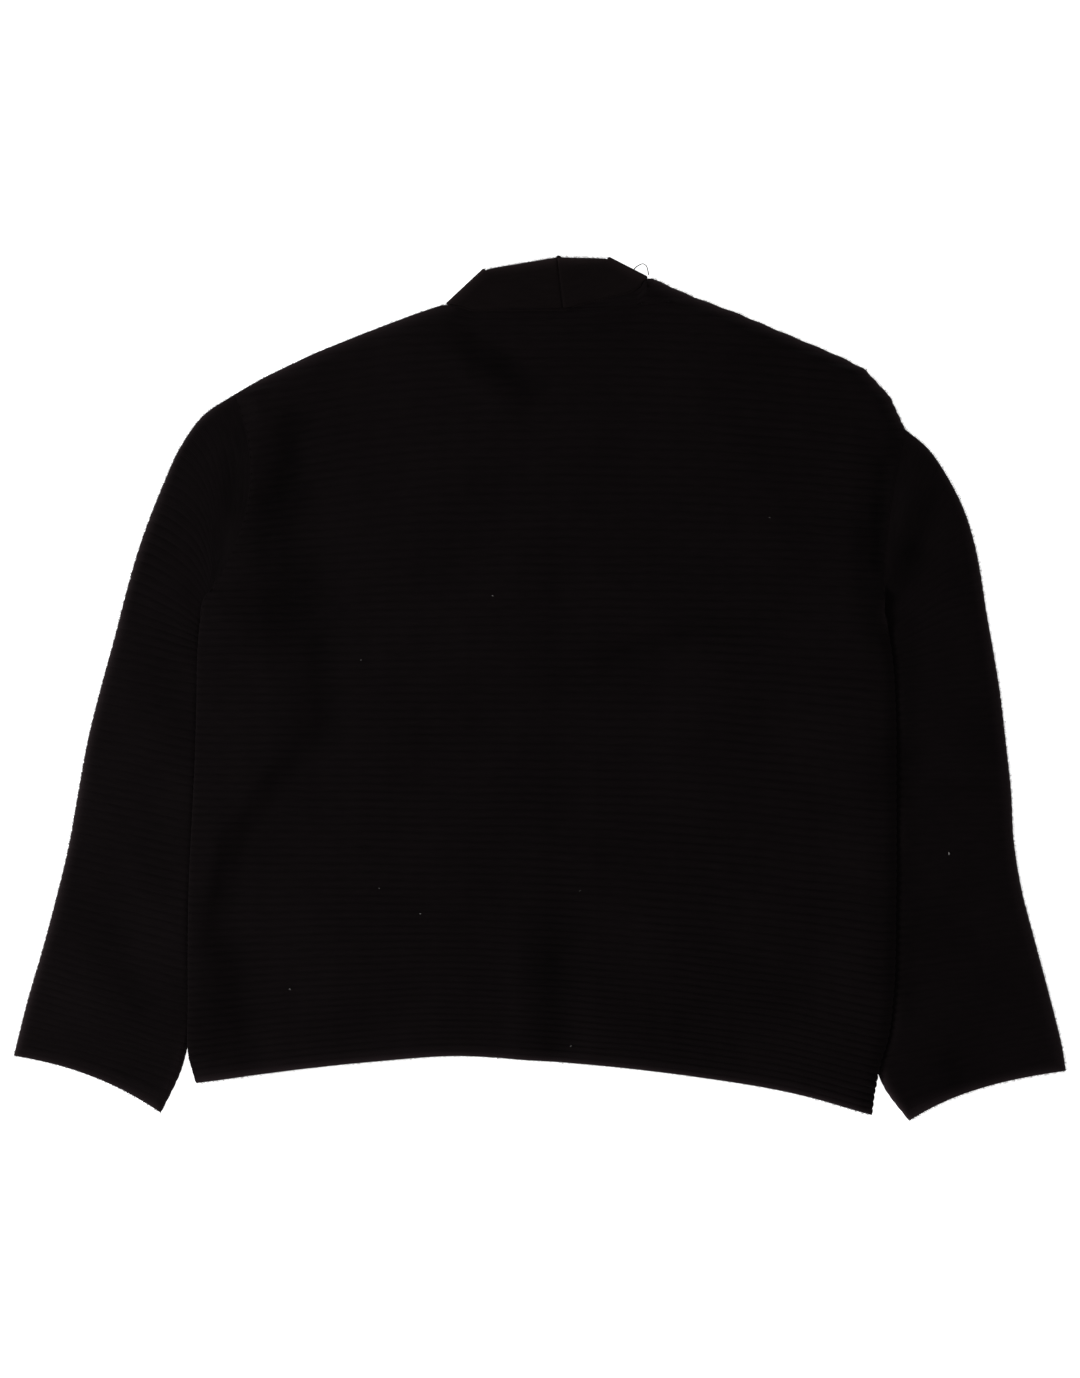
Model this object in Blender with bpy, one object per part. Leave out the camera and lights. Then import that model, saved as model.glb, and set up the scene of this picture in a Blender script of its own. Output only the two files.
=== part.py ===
"""A black cardigan in a cross-rib knit, laid flat on its front with its back uppermost.

X runs across the garment, Y up from hem to neck and Z up from the surface it lies on. The origin
is on that surface, under the middle of the garment. Left and right are the viewer's, who looks
down at the back, and so they are the wearer's too.

Two layers of cloth lie on each other. The fronts and the lower halves of the sleeves rest on the
surface, and the back and the upper halves lie on them. The sides of the body lie on the inner
edges of the sleeves. Every rib of the outer face is raised at its real pitch.
"""

import bmesh
import bpy
import numpy as np

# Cloth, in metres
WALL = 0.0022
RIB_HALF_DEPTH = 0.0005
SIDE_SCALLOP = 0.00035
SHOULDER_SCALLOP = 0.0011
SEAM_GAP = 0.0003
LAYER_GAP = 0.0003
AIR = 0.0019
LEAST_AIR = 0.0001
AIR_RISE = 0.016
SIDE_LIP = 0.0012
SEAM_LIP = 0.0018
EDGE_WIDTH = 0.0035
UNDERSIDE_INSET = 0.001
FRONT_ARMHOLE_INSET = 0.0002
ARMHOLE_GAP = 0.0005

# Ribs from one row of a plain face to the next
BODY_COARSE_RIBS = 3

# Rows at the neck that the back's plain underside follows one by one
NECK_ROWS = 7
SLEEVE_COARSE_RIBS = 4

# Where the body's sides lie on the sleeves
SLEEVE_TUCKED_TOP = 0.0047
TUCKED_LIFT = 0.0052
LIFT_RAMP = 0.022
TUCK_COVER = 0.003
TUCK_REACH = 0.016
LEAST_TUCK_WIDTH = 0.0088
AIR_OVER_TUCK = 0.0004
FULL_ROW_WIDTH = 0.14

# Sleeves
SLEEVE_TOP = 0.0061
SLEEVE_FOLD_HEIGHT = 0.0024
SLEEVE_INNER_INSET = 0.0023
SLEEVE_SEAM_BLEND = 0.014
SLEEVE_AIR_FLOOR = 0.0002
VALLEY_SHARE = 0.8
VALLEY_CLEARANCE = 0.005
TUCKED_RIB_SHARE = 0.3

# The neckband and the front bands
BAND_FOLD_RADIUS = 0.0014
BAND_FOLD_STEPS = 6
BAND_UPPER_MIDDLE = 0.0039
BAND_BACK_STEPS = 5

KNIT_BLACK = (0.0045, 0.0038, 0.0041, 1.0)
BAND_BLACK = (0.0052, 0.0044, 0.0046, 1.0)
KNIT_ROUGHNESS = 0.95

# The shoulder and neck line, from left to right: x, y
SHOULDER_AND_NECK = (
    (-0.2351, 0.2262),
    (-0.2119, 0.2393),
    (-0.1733, 0.2578),
    (-0.1347, 0.2733),
    (-0.0961, 0.2880),
    (-0.0706, 0.2964),
    (-0.0652, 0.2975),
    (0.0181, 0.2972),
    (0.0467, 0.3065),
    (0.0675, 0.3119),
    (0.0838, 0.3173),
    (0.1162, 0.3026),
    (0.1548, 0.2880),
    (0.1934, 0.2717),
    (0.2320, 0.2555),
    (0.2513, 0.2455),
    (0.2706, 0.2247),
    (0.2822, 0.1992),
)
NECK_LEFT = -0.0652
NECK_RIGHT = 0.0838
NECK_DEPTH = 0.02
ON_EVERY_ROW = 0.0838

# The side of the body below the underarm, from the top: y, x
LEFT_SIDE = (
    (0.0679, -0.2575),
    (-0.0093, -0.2567),
    (-0.0556, -0.2598),
    (-0.1019, -0.2652),
    (-0.1482, -0.2690),
    (-0.2409, -0.2698),
    (-0.2856, -0.2690),
    (-0.3042, -0.2644),
)
RIGHT_SIDE = (
    (0.0564, 0.2652),
    (-0.0093, 0.2690),
    (-0.0865, 0.2698),
    (-0.1637, 0.2690),
    (-0.2409, 0.2667),
    (-0.2872, 0.2621),
    (-0.2988, 0.2606),
    (-0.3281, 0.2567),
)

# How far a rib lies below its own height at the middle, for ribs at five heights.
# The first row of numbers is x. After it each row is: height, then the fall at each x.
RIB_FALL_X = (-0.264, -0.177, -0.123, -0.069, 0.0, 0.062, 0.124, 0.201, 0.263)
RIB_FALLS = (
    (0.2995, 0.0286, 0.0139, 0.0059, 0.0015, 0.0, 0.0000, 0.0019, 0.0073, 0.0134),
    (0.1992, 0.0286, 0.0139, 0.0059, 0.0015, 0.0, 0.0000, 0.0019, 0.0073, 0.0134),
    (0.0911, 0.0085, 0.0054, 0.0031, 0.0008, 0.0, 0.0000, 0.0008, 0.0023, 0.0046),
    (-0.0247, 0.0000, 0.0000, 0.0000, 0.0000, 0.0, 0.0005, 0.0023, 0.0085, 0.0154),
    (-0.1637, -0.0023, -0.0027, -0.0027, -0.0019, 0.0, 0.0039, 0.0089, 0.0174, 0.0255),
    (-0.2872, 0.0170, 0.0054, 0.0000, -0.0039, 0.0, 0.0050, 0.0127, 0.0262, 0.0440),
)
TOP_ROW_HEIGHT = 0.3141
HEM_ROW_HEIGHT = -0.2872

# Pitch of the ribs down the back: height, pitch
BACK_PITCH = (
    (0.3141, 0.00695),
    (0.1297, 0.00695),
    (0.0834, 0.00664),
    (-0.0556, 0.00648),
    (-0.1019, 0.00633),
    (-0.1482, 0.00618),
    (-0.1945, 0.00560),
    (-0.2409, 0.00494),
    (-0.2872, 0.00470),
)

# Pitch of the ribs along a sleeve's outer edge: distance from the shoulder, pitch
SLEEVE_PITCH = (
    (0.000, 0.0081),
    (0.080, 0.0081),
    (0.210, 0.0077),
    (0.260, 0.0071),
    (0.340, 0.0067),
    (0.420, 0.0062),
    (0.550, 0.0050),
)

# Lines across each sleeve, from the armhole to the cuff: the outer fold's x and y, a point that
# bows the line, and the inner fold's x and y
LEFT_SLEEVE = (
    (-0.2351, 0.2262, -0.2003, 0.1490, -0.2575, 0.0679),
    (-0.2582, 0.2108, -0.2196, 0.1606, -0.2582, 0.0648),
    (-0.2768, 0.1853, -0.2351, 0.1606, -0.2590, 0.0618),
    (-0.2899, 0.1567, -0.2420, 0.1451, -0.2590, 0.0571),
    (-0.3007, 0.1297, -0.2505, 0.1143, -0.2590, 0.0510),
    (-0.3100, 0.1027, -0.2621, 0.0880, -0.2587, 0.0417),
    (-0.3177, 0.0757, -0.2775, 0.0633, -0.2559, 0.0293),
    (-0.3277, 0.0371, -0.2737, 0.0247, -0.2220, 0.0124),
    (-0.3362, 0.0062, -0.2698, -0.0077, -0.2034, -0.0216),
    (-0.3470, -0.0363, -0.2806, -0.0494, -0.2158, -0.0633),
    (-0.3563, -0.0865, -0.3007, -0.0980, -0.2405, -0.1096),
    (-0.3625, -0.1212, -0.3061, -0.1328, -0.2497, -0.1451),
    (-0.3717, -0.1598, -0.3123, -0.1729, -0.2521, -0.1868),
    (-0.3841, -0.2061, -0.3200, -0.2231, -0.2559, -0.2409),
    (-0.3949, -0.2432, -0.3300, -0.2609, -0.2660, -0.2795),
    (-0.4011, -0.2679, -0.3393, -0.2795, -0.2791, -0.3026),
    (-0.4049, -0.2833, -0.3393, -0.2934, -0.2914, -0.3273),
)
RIGHT_SLEEVE = (
    (0.2822, 0.1992, 0.2644, 0.1320, 0.2652, 0.0564),
    (0.2976, 0.1853, 0.2783, 0.1413, 0.2660, 0.0533),
    (0.3115, 0.1606, 0.2876, 0.1336, 0.2667, 0.0494),
    (0.3231, 0.1351, 0.2937, 0.1143, 0.2675, 0.0448),
    (0.3323, 0.1081, 0.2899, 0.0973, 0.2679, 0.0394),
    (0.3385, 0.0872, 0.2922, 0.0757, 0.2681, 0.0332),
    (0.3439, 0.0618, 0.2976, 0.0540, 0.2636, 0.0232),
    (0.3486, 0.0293, 0.2976, 0.0185, 0.2490, 0.0093),
    (0.3532, -0.0015, 0.2968, -0.0062, 0.2420, -0.0116),
    (0.3578, -0.0401, 0.3015, -0.0409, 0.2443, -0.0425),
    (0.3625, -0.0787, 0.3053, -0.0787, 0.2490, -0.0787),
    (0.3655, -0.1173, 0.3092, -0.1197, 0.2521, -0.1212),
    (0.3709, -0.1521, 0.3115, -0.1583, 0.2521, -0.1637),
    (0.3810, -0.1922, 0.3169, -0.1999, 0.2521, -0.2077),
    (0.3910, -0.2293, 0.3215, -0.2401, 0.2521, -0.2501),
    (0.3980, -0.2563, 0.3246, -0.2687, 0.2567, -0.2833),
    (0.4026, -0.2756, 0.3323, -0.2910, 0.2660, -0.3088),
    (0.4057, -0.2949, 0.3285, -0.3042, 0.2845, -0.3335),
)

# The front edges, from the hem up: the band seam's y and x, then the band's free edge, x and y
LEFT_FRONT_EDGE = (
    (-0.2841, -0.0459, -0.0112, -0.2849),
    (-0.1328, -0.0413, -0.0066, -0.1328),
    (0.0988, -0.0390, -0.0042, 0.0988),
    (0.2069, -0.0413, -0.0050, 0.2185),
    (0.2609, -0.0537, -0.0266, 0.2764),
    (0.2964, -0.0640, -0.0405, 0.3215),
)
RIGHT_FRONT_EDGE = (
    (-0.2926, 0.0621, 0.0274, -0.2887),
    (-0.1328, 0.0513, 0.0166, -0.1328),
    (0.0988, 0.0421, 0.0073, 0.0988),
    (0.2069, 0.0452, 0.0089, 0.2208),
    (0.2648, 0.0637, 0.0336, 0.2802),
    (0.3150, 0.0820, 0.0511, 0.3297),
)

# The neckband's folds at the sides of the neck: seam end x, y and top x, y
LEFT_FOLD = (-0.0652, 0.3001, -0.0405, 0.3242)
RIGHT_FOLD = (0.0838, 0.3173, 0.0521, 0.3320)
CENTRE_TOP = (0.0135, 0.3320)
CENTRE_SEAM_X = 0.0181

# Soft troughs in the back, deepest first: start x, y, end x, y, half width, depth
TROUGHS = (
    (0.0066, -0.1945, 0.0081, -0.2950, 0.013, 0.0017),
    (-0.1988, 0.2185, -0.1949, 0.1220, 0.013, 0.0016),
    (0.2629, 0.1837, 0.2536, 0.0602, 0.014, 0.0014),
    (-0.2405, -0.1868, -0.2350, -0.2640, 0.012, 0.0013),
    (-0.0614, 0.2687, -0.0073, 0.2301, 0.008, 0.0013),
    (-0.2350, -0.0787, -0.2450, -0.1637, 0.009, 0.0011),
    (-0.1695, -0.0401, -0.2235, -0.0633, 0.009, 0.0011),
    (-0.2042, 0.1220, -0.1772, -0.0015, 0.012, 0.0009),
    (-0.1077, -0.0093, -0.1695, -0.0401, 0.008, 0.0008),
    (0.0120, 0.0988, 0.0081, -0.1945, 0.010, 0.0005),
)

# Columns between the ramps at the two sides, as shares of the way across
MIDDLE_COLUMNS = (0.15, 0.27, 0.40, 0.476, 0.518, 0.56, 0.70, 0.86)
FRONT_COLUMNS = (0.5, 1.0)
SLEEVE_COLUMNS = (0.25, 0.5, 0.75, 1.0)

ROW_SAMPLES = 4000
SIDE_SAMPLES = 200
BISECTIONS = 30
SIDE_REACH = 0.31


def smooth(share):
    """Eases from 0 to 1 as the share does, with level ends."""
    held = np.clip(share, 0.0, 1.0)
    return held * held * (3.0 - 2.0 * held)


def through(table, at):
    """A smooth curve through a table's rows, whose first column rises and is the key."""
    rows = np.asarray(table, float)
    keys, values = rows[:, 0], rows[:, 1:]
    slopes = np.gradient(values, keys, axis=0)
    at = np.clip(np.asarray(at, float), keys[0], keys[-1])
    piece = np.clip(np.searchsorted(keys, at, side="right") - 1, 0, len(keys) - 2)
    step = (keys[piece + 1] - keys[piece])[..., None]
    t = (at - keys[piece])[..., None] / step
    start = values[piece] * (1 + 2 * t) * (1 - t) ** 2 + slopes[piece] * step * t * (1 - t) ** 2
    end = values[piece + 1] * t**2 * (3 - 2 * t) + slopes[piece + 1] * step * t**2 * (t - 1)
    return start + end


def rising(table):
    """A table's rows in the order in which its first column rises."""
    return sorted(table, key=lambda row: row[0])


def rib_rows(pitch_table, start, end, coarse_ribs):
    """The places of every ridge and valley between two ends, with a valley at each end.

    The pitch is stretched a little, so that a whole number of coarse rows fits.
    """
    places = np.linspace(start, end, ROW_SAMPLES)
    table = np.asarray(rising(pitch_table))
    pitch = np.interp(places, table[:, 0], table[:, 1])
    passed = np.concatenate([[0.0], np.cumsum(abs(np.diff(places)) * 2 / (pitch[1:] + pitch[:-1]))])
    whole = round(passed[-1] / coarse_ribs) * coarse_ribs
    return np.interp(np.arange(2 * whole + 1) / 2.0, passed * whole / passed[-1], places)


def sleeve_lines(stations, distances):
    """Outer fold, bowing point and inner fold of the line at each distance down the outer fold."""
    table = np.asarray(stations)
    outer = table[:, :2]
    along = np.concatenate([[0.0], np.cumsum(np.linalg.norm(np.diff(outer, axis=0), axis=1))])
    return through(np.column_stack([along, table]), distances), along[-1]


def bowed(line, share):
    """Points at the shares of the way along bowed lines. A line is six numbers, as in the tables."""
    t = np.asarray(share)[..., None]
    outer, bow, inner = line[..., None, 0:2], line[..., None, 2:4], line[..., None, 4:6]
    return outer * (1 - t) ** 2 + bow * 2 * t * (1 - t) + inner * t**2


class Sleeve:
    """One sleeve's rows of points, from the armhole to the cuff, seen from above."""

    def __init__(self, stations, side_of_body, outwards):
        self.outwards = outwards
        _, length = sleeve_lines(stations, np.zeros(1))
        self.distances = rib_rows(SLEEVE_PITCH, 0.0, length, SLEEVE_COARSE_RIBS)
        self.lines, _ = sleeve_lines(stations, self.distances)
        self.side_of_body = side_of_body
        fine = np.linspace(0.0, length, ROW_SAMPLES)
        self.inner_fold = sleeve_lines(stations, fine)[0][:, 4:6]
        first = self.lines[0]
        self.armhole = bowed(first[None], self.shares()[:1])[0]

    def lengths(self):
        """The length of each line across the sleeve."""
        return np.linalg.norm(self.lines[:, 4:6] - self.lines[:, 0:2], axis=1)

    def tuck(self):
        """How far each line's inner fold lies under the body."""
        inner = self.lines[:, 4:6]
        side = np.interp(inner[:, 1], self.side_of_body[:, 1], self.side_of_body[:, 0])
        reach = (side - inner[:, 0]) * self.outwards
        in_range = (inner[:, 1] < self.side_of_body[-1, 1]) & (inner[:, 1] > self.side_of_body[0, 1])
        return np.where(in_range, np.maximum(reach, 0.0), 0.0)

    def shares(self):
        """Where the columns lie across each line, from the outer fold to the inner one."""
        length = self.lengths()
        tuck = self.tuck()
        edge = EDGE_WIDTH / length
        valley = np.minimum(VALLEY_SHARE, (length - tuck - VALLEY_CLEARANCE) / length)
        middle = [valley * share for share in SLEEVE_COLUMNS]
        return np.column_stack([0 * length, edge, *middle, 1 - edge, 1 + 0 * length])

    def plan(self, shares):
        """The columns' points in plan, with the ribs' scallops on the outer fold."""
        points = bowed(self.lines, shares)
        ridge = np.arange(len(self.lines)) % 2
        across = self.lines[:, 0:2] - self.lines[:, 2:4]
        across /= np.linalg.norm(across, axis=1)[:, None]
        points[:, 0] += across * (SIDE_SCALLOP * (2 * ridge - 1))[:, None]
        points[..., 0] += self.outwards * ARMHOLE_GAP
        return points

    def inner_plan(self, shares, plan):
        """The inside's columns in plan, a wall's thickness in from each fold, on the same lines."""
        inset = (SLEEVE_INNER_INSET / self.lengths())[:, None]
        held = np.clip(shares, inset, 1 - inset)
        held[:, 1] = held[:, 0] + inset[:, 0]
        held[:, -2] = held[:, -1] - inset[:, 0]
        rows = [
            np.column_stack([np.interp(at, share, line[:, 0]), np.interp(at, share, line[:, 1])])
            for at, share, line in zip(held, shares, plan)
        ]
        return np.array(rows)

    def heights(self):
        """The upper face's height at each column, with no ribs."""
        tucked = smooth(self.tuck() / EDGE_WIDTH)
        from_seam = smooth(self.distances / SLEEVE_SEAM_BLEND)
        top = SLEEVE_TUCKED_TOP + (SLEEVE_TOP - SLEEVE_TUCKED_TOP) * from_seam
        near_valley = top + (SLEEVE_TUCKED_TOP - top) * tucked
        fold = np.full_like(top, SLEEVE_FOLD_HEIGHT)
        near_fold = (top + SLEEVE_TUCKED_TOP) / 2
        return np.column_stack(
            [fold, near_fold, top, top, (2 * top + near_valley) / 3, near_valley, near_valley, fold]
        )


def side_curve(side_table, armhole):
    """A side of the body as points from the hem to the shoulder, through the armhole's points."""
    below = rising(side_table)
    ys = np.linspace(below[0][0], below[-1][0], SIDE_SAMPLES)
    lower = np.column_stack([through(below, ys)[:, 0], ys])
    upper = armhole[::-1][1:]
    return np.vstack([lower, upper])


def top_line(xs):
    """The height of the shoulder and neck line."""
    line = np.asarray(SHOULDER_AND_NECK)
    return np.interp(xs, line[:, 0], line[:, 1])


def rib_fall(xs, height):
    """How far the rib at a height lies below it at each x."""
    falls = through([(row[0], *row[1:]) for row in rising(RIB_FALLS)], height)
    return through(np.column_stack([RIB_FALL_X, falls]), xs)[:, 0]


class Body:
    """The outline and the ribs that the back and the fronts share."""

    def __init__(self, left_sleeve, right_sleeve):
        self.left_side = side_curve(LEFT_SIDE, left_sleeve.armhole)
        self.right_side = side_curve(RIGHT_SIDE, right_sleeve.armhole)
        self.left_tuck = self.cover_of(left_sleeve, self.left_side, 1.0)
        self.right_tuck = self.cover_of(right_sleeve, self.right_side, -1.0)
        self.heights = rib_rows(BACK_PITCH, TOP_ROW_HEIGHT, HEM_ROW_HEIGHT, BODY_COARSE_RIBS)
        self.ends = [self.row_ends(height) for height in self.heights]

    def inside(self, x, height):
        """Whether the row at a height is within the outline at x."""
        y = self.row_y(x, height)
        left = np.interp(y, self.left_side[:, 1], self.left_side[:, 0])
        right = np.interp(y, self.right_side[:, 1], self.right_side[:, 0])
        return y <= top_line(x) and left <= x <= right

    def row_y(self, x, height):
        """The y of the row at a height, at one x or several."""
        xs = np.atleast_1d(x)
        ys = height - rib_fall(xs, height)
        return ys if np.ndim(x) else ys[0]

    def height_through(self, x, y):
        """The height of the row that passes through a point."""
        height = y
        for _ in range(BISECTIONS):
            height = y + rib_fall(np.array([x]), height)[0]
        return height

    def row_ends(self, height):
        """Where a row meets the outline at the left and at the right."""
        found = []
        for far in (-SIDE_REACH, SIDE_REACH):
            out_x, in_x = far, ON_EVERY_ROW
            for _ in range(BISECTIONS):
                middle = (out_x + in_x) / 2
                if self.inside(middle, height):
                    in_x = middle
                else:
                    out_x = middle
            found.append(in_x)
        return found

    def cover_of(self, sleeve, side, inwards):
        """For heights up the side, how far in from it the sleeve below reaches."""
        ys = side[:, 1]
        fold = sleeve.inner_fold
        reach = np.zeros(len(ys))
        for index, y in enumerate(ys):
            near = fold[abs(fold[:, 1] - y) < TUCK_REACH]
            if len(near):
                reach[index] = max(0.0, ((near[:, 0] - side[index, 0]) * inwards).max())
        covered = np.where(reach > 0, reach + TUCK_COVER, 0.0)
        return np.column_stack([ys, covered])

    def lift(self, x, y):
        """How far the sleeves' inner edges raise the body at a point."""
        total = np.zeros(np.shape(x))
        sides = ((self.left_side, self.left_tuck, 1.0), (self.right_side, self.right_tuck, -1.0))
        for side, tuck, inwards in sides:
            covered = np.interp(y, tuck[:, 0], tuck[:, 1])
            from_side = (x - np.interp(y, side[:, 1], side[:, 0])) * inwards
            raised = np.clip(covered / TUCK_COVER, 0.0, 1.0)
            total = total + TUCKED_LIFT * raised * (1 - smooth((from_side - covered) / LIFT_RAMP))
        return total

    def air(self, x, y, from_end):
        """The space between the layers: soft, with troughs, and closed where a row ends."""
        depth = np.zeros(np.shape(x))
        for start_x, start_y, end_x, end_y, half_width, trough in TROUGHS:
            run = np.array([end_x - start_x, end_y - start_y])
            share = ((x - start_x) * run[0] + (y - start_y) * run[1]) / (run @ run)
            held = np.clip(share, 0.0, 1.0)
            away = np.hypot(x - start_x - held * run[0], y - start_y - held * run[1])
            depth = np.maximum(depth, trough * np.exp(-((away / half_width) ** 2)))
        loose = (AIR - depth) * smooth(from_end / AIR_RISE)
        over_tuck = self.lift(x, y) / TUCKED_LIFT
        return np.maximum(LEAST_AIR, loose + (np.minimum(loose, AIR_OVER_TUCK) - loose) * over_tuck)

    def grid(self):
        """The x and y of every point of the back, a row for each ridge and valley."""
        rows = []
        for height, (left, right) in zip(self.heights, self.ends):
            xs = self.columns(left, right, self.row_y(left, height), self.row_y(right, height))
            rows.append((xs, self.row_y(xs, height)))
        xs, ys = np.array(rows).transpose(1, 0, 2)
        return xs, ys

    def columns(self, left, right, y_left, y_right):
        """The x of each column of a row of the back."""
        fit = min(1.0, (right - left) / FULL_ROW_WIDTH)
        left_steps = self.side_steps(self.left_tuck, y_left)
        right_steps = self.side_steps(self.right_tuck, y_right)
        from_left = left + left_steps * fit
        from_right = right - right_steps * fit
        middle = from_left[-1] + (from_right[-1] - from_left[-1]) * np.array(MIDDLE_COLUMNS)
        return np.concatenate([from_left, middle, from_right[::-1]])

    @staticmethod
    def side_steps(tuck, y):
        """How far in from the side its columns lie: edge, end of the tuck and foot of the ramp."""
        covered = np.interp(y, tuck[:, 0], tuck[:, 1])
        end = max(covered, LEAST_TUCK_WIDTH)
        return np.array([0.0, EDGE_WIDTH, end, end + LIFT_RAMP])


def faces_between(first, second):
    """Quads between two rows of point numbers."""
    return [(first[k], first[k + 1], second[k + 1], second[k]) for k in range(len(first) - 1)]


def closed_object(name, points, faces, colour, parent):
    """A mesh object from points and faces, with its faces turned outwards."""
    mesh = bpy.data.meshes.new(name)
    mesh.from_pydata([tuple(point) for point in points], [], faces)
    work = bmesh.new()
    work.from_mesh(mesh)
    unused = [vertex for vertex in work.verts if not vertex.link_faces]
    bmesh.ops.delete(work, geom=unused, context="VERTS")
    bmesh.ops.recalc_face_normals(work, faces=work.faces)
    work.to_mesh(mesh)
    work.free()
    mesh.validate()
    material = bpy.data.materials.new(name)
    material.use_nodes = True
    shader = material.node_tree.nodes["Principled BSDF"]
    shader.inputs["Base Color"].default_value = colour
    shader.inputs["Roughness"].default_value = KNIT_ROUGHNESS
    shader.inputs["Metallic"].default_value = 0.0
    mesh.materials.append(material)
    made = bpy.data.objects.new(name, mesh)
    made.parent = parent
    bpy.context.scene.collection.objects.link(made)
    return made


def panel_mesh(upper, lower, picked):
    """Points and faces of a flat panel: every row above and round the rim, the picked ones below."""
    rows, columns = upper.shape[:2]
    top = np.arange(rows * columns).reshape(rows, columns)
    below = top + top.size
    faces = []
    for row in range(rows - 1):
        faces += faces_between(top[row], top[row + 1])
        for column in (0, columns - 1):
            faces += faces_between(top[[row, row + 1], column], below[[row, row + 1], column])
    for first, second in zip(picked[:-1], picked[1:]):
        faces += faces_between(below[first, 1:-1], below[second, 1:-1])
        for end, inner in ((0, 1), (columns - 1, columns - 2)):
            faces.append((*below[first : second + 1, end], below[second, inner], below[first, inner]))
    for row in (0, rows - 1):
        faces += faces_between(top[row], below[row])
    return np.vstack([upper.reshape(-1, 3), lower.reshape(-1, 3)]), faces


def make_back(body, parent):
    """The back: every rib raised in its upper face, over a plain underside."""
    xs, ys = body.grid()
    from_end = np.minimum(xs - xs[:, :1], xs[:, -1:] - xs)
    picked = np.array(sorted({*range(NECK_ROWS), *range(0, len(xs), 2 * BODY_COARSE_RIBS)}))
    exact = body.lift(xs, ys)[picked] + WALL + LAYER_GAP + body.air(xs, ys, from_end)[picked]
    every = np.arange(len(xs))
    underside = np.column_stack([np.interp(every, picked, column) for column in exact.T])
    ridge = 2 * (every % 2) - 1
    face = underside + WALL + (ridge * RIB_HALF_DEPTH)[:, None]
    for end, outwards in ((0, -1.0), (-1, 1.0)):
        for row in every:
            sewn, scallop = end_kind(xs[row, end], ys[row, end])
            face[row, end] = underside[row, end] + (SEAM_LIP if sewn else SIDE_LIP)
            xs[row, end] += outwards * ridge[row] * scallop
    upper = np.dstack([xs, ys, face])
    points, faces = panel_mesh(upper, np.dstack([xs, ys, underside]), picked)
    closed_object("back", points, faces, KNIT_BLACK, parent)
    return upper


def end_kind(x, y):
    """Whether a row ends at a seam, and how far its ribs scallop the outline there."""
    if NECK_LEFT < x < NECK_RIGHT and y > top_line(x) - EDGE_WIDTH:
        return True, 0.0
    if x < 0:
        shoulder, underarm = LEFT_SLEEVE[0][1], LEFT_SLEEVE[0][5]
    else:
        shoulder, underarm = RIGHT_SLEEVE[0][1], RIGHT_SLEEVE[0][5]
    if y > shoulder:
        return False, SHOULDER_SCALLOP
    if y > underarm:
        return True, 0.0
    return False, SIDE_SCALLOP


def front_heights(body, sleeve, top_height):
    """The rows of a front: coarse ones, and one through each point of the armhole's edge."""
    sewn = [body.height_through(x, y) for x, y in sleeve.armhole]
    free = body.heights[:: 2 * BODY_COARSE_RIBS]
    free = free[(free < min(sewn) - EDGE_WIDTH) | (free > max(sewn) + EDGE_WIDTH)]
    free = free[free < top_height - EDGE_WIDTH]
    return np.array(sorted([top_height, *sewn, *free], reverse=True))


def make_front(name, body, sleeve, edge_table, parent):
    """A front: plain, flat on the surface, and raised where its side lies on the sleeve."""
    keys = rising(edge_table)
    is_left = sleeve.outwards < 0
    inwards = -sleeve.outwards
    tuck = body.left_tuck if is_left else body.right_tuck
    upper, lower, seam = [], [], []
    top_height = min(TOP_ROW_HEIGHT, keys[-1][0] - EDGE_WIDTH)
    for height in front_heights(body, sleeve, top_height):
        ends = body.row_ends(height)
        outer = ends[0] if is_left else ends[1]
        y_outer = body.row_y(outer, height)
        seam_x = outer
        for _ in range(BISECTIONS):
            seam_x = through(keys, np.array([body.row_y(seam_x, height)]))[0, 0]
        seam_x -= inwards * SEAM_GAP
        width = (seam_x - outer) * inwards
        fit = min(1.0, width / (FULL_ROW_WIDTH / 2))
        steps = Body.side_steps(tuck, y_outer) * fit
        rest = steps[-1] + (width - steps[-1]) * np.array(FRONT_COLUMNS)
        xs = outer + inwards * np.concatenate([steps, rest])
        ys = body.row_y(xs, height)
        rest_height = body.lift(xs, ys)
        sewn, _ = end_kind(outer, y_outer)
        xs[0] += inwards * FRONT_ARMHOLE_INSET * sewn
        under_x = xs.copy()
        under_x[0] += inwards * UNDERSIDE_INSET * fit * (not sewn)
        upper.append(np.column_stack([xs, ys, rest_height + WALL]))
        lower.append(np.column_stack([under_x, ys, rest_height]))
        seam.append((xs[-1], ys[-1]))
    left_to_right = 1 if is_left else -1
    sides = [np.array(rows)[:, ::left_to_right] for rows in (upper, lower)]
    points, faces = panel_mesh(*sides, range(len(upper)))
    closed_object(name, points, faces, KNIT_BLACK, parent)
    return np.array(seam)


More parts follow.
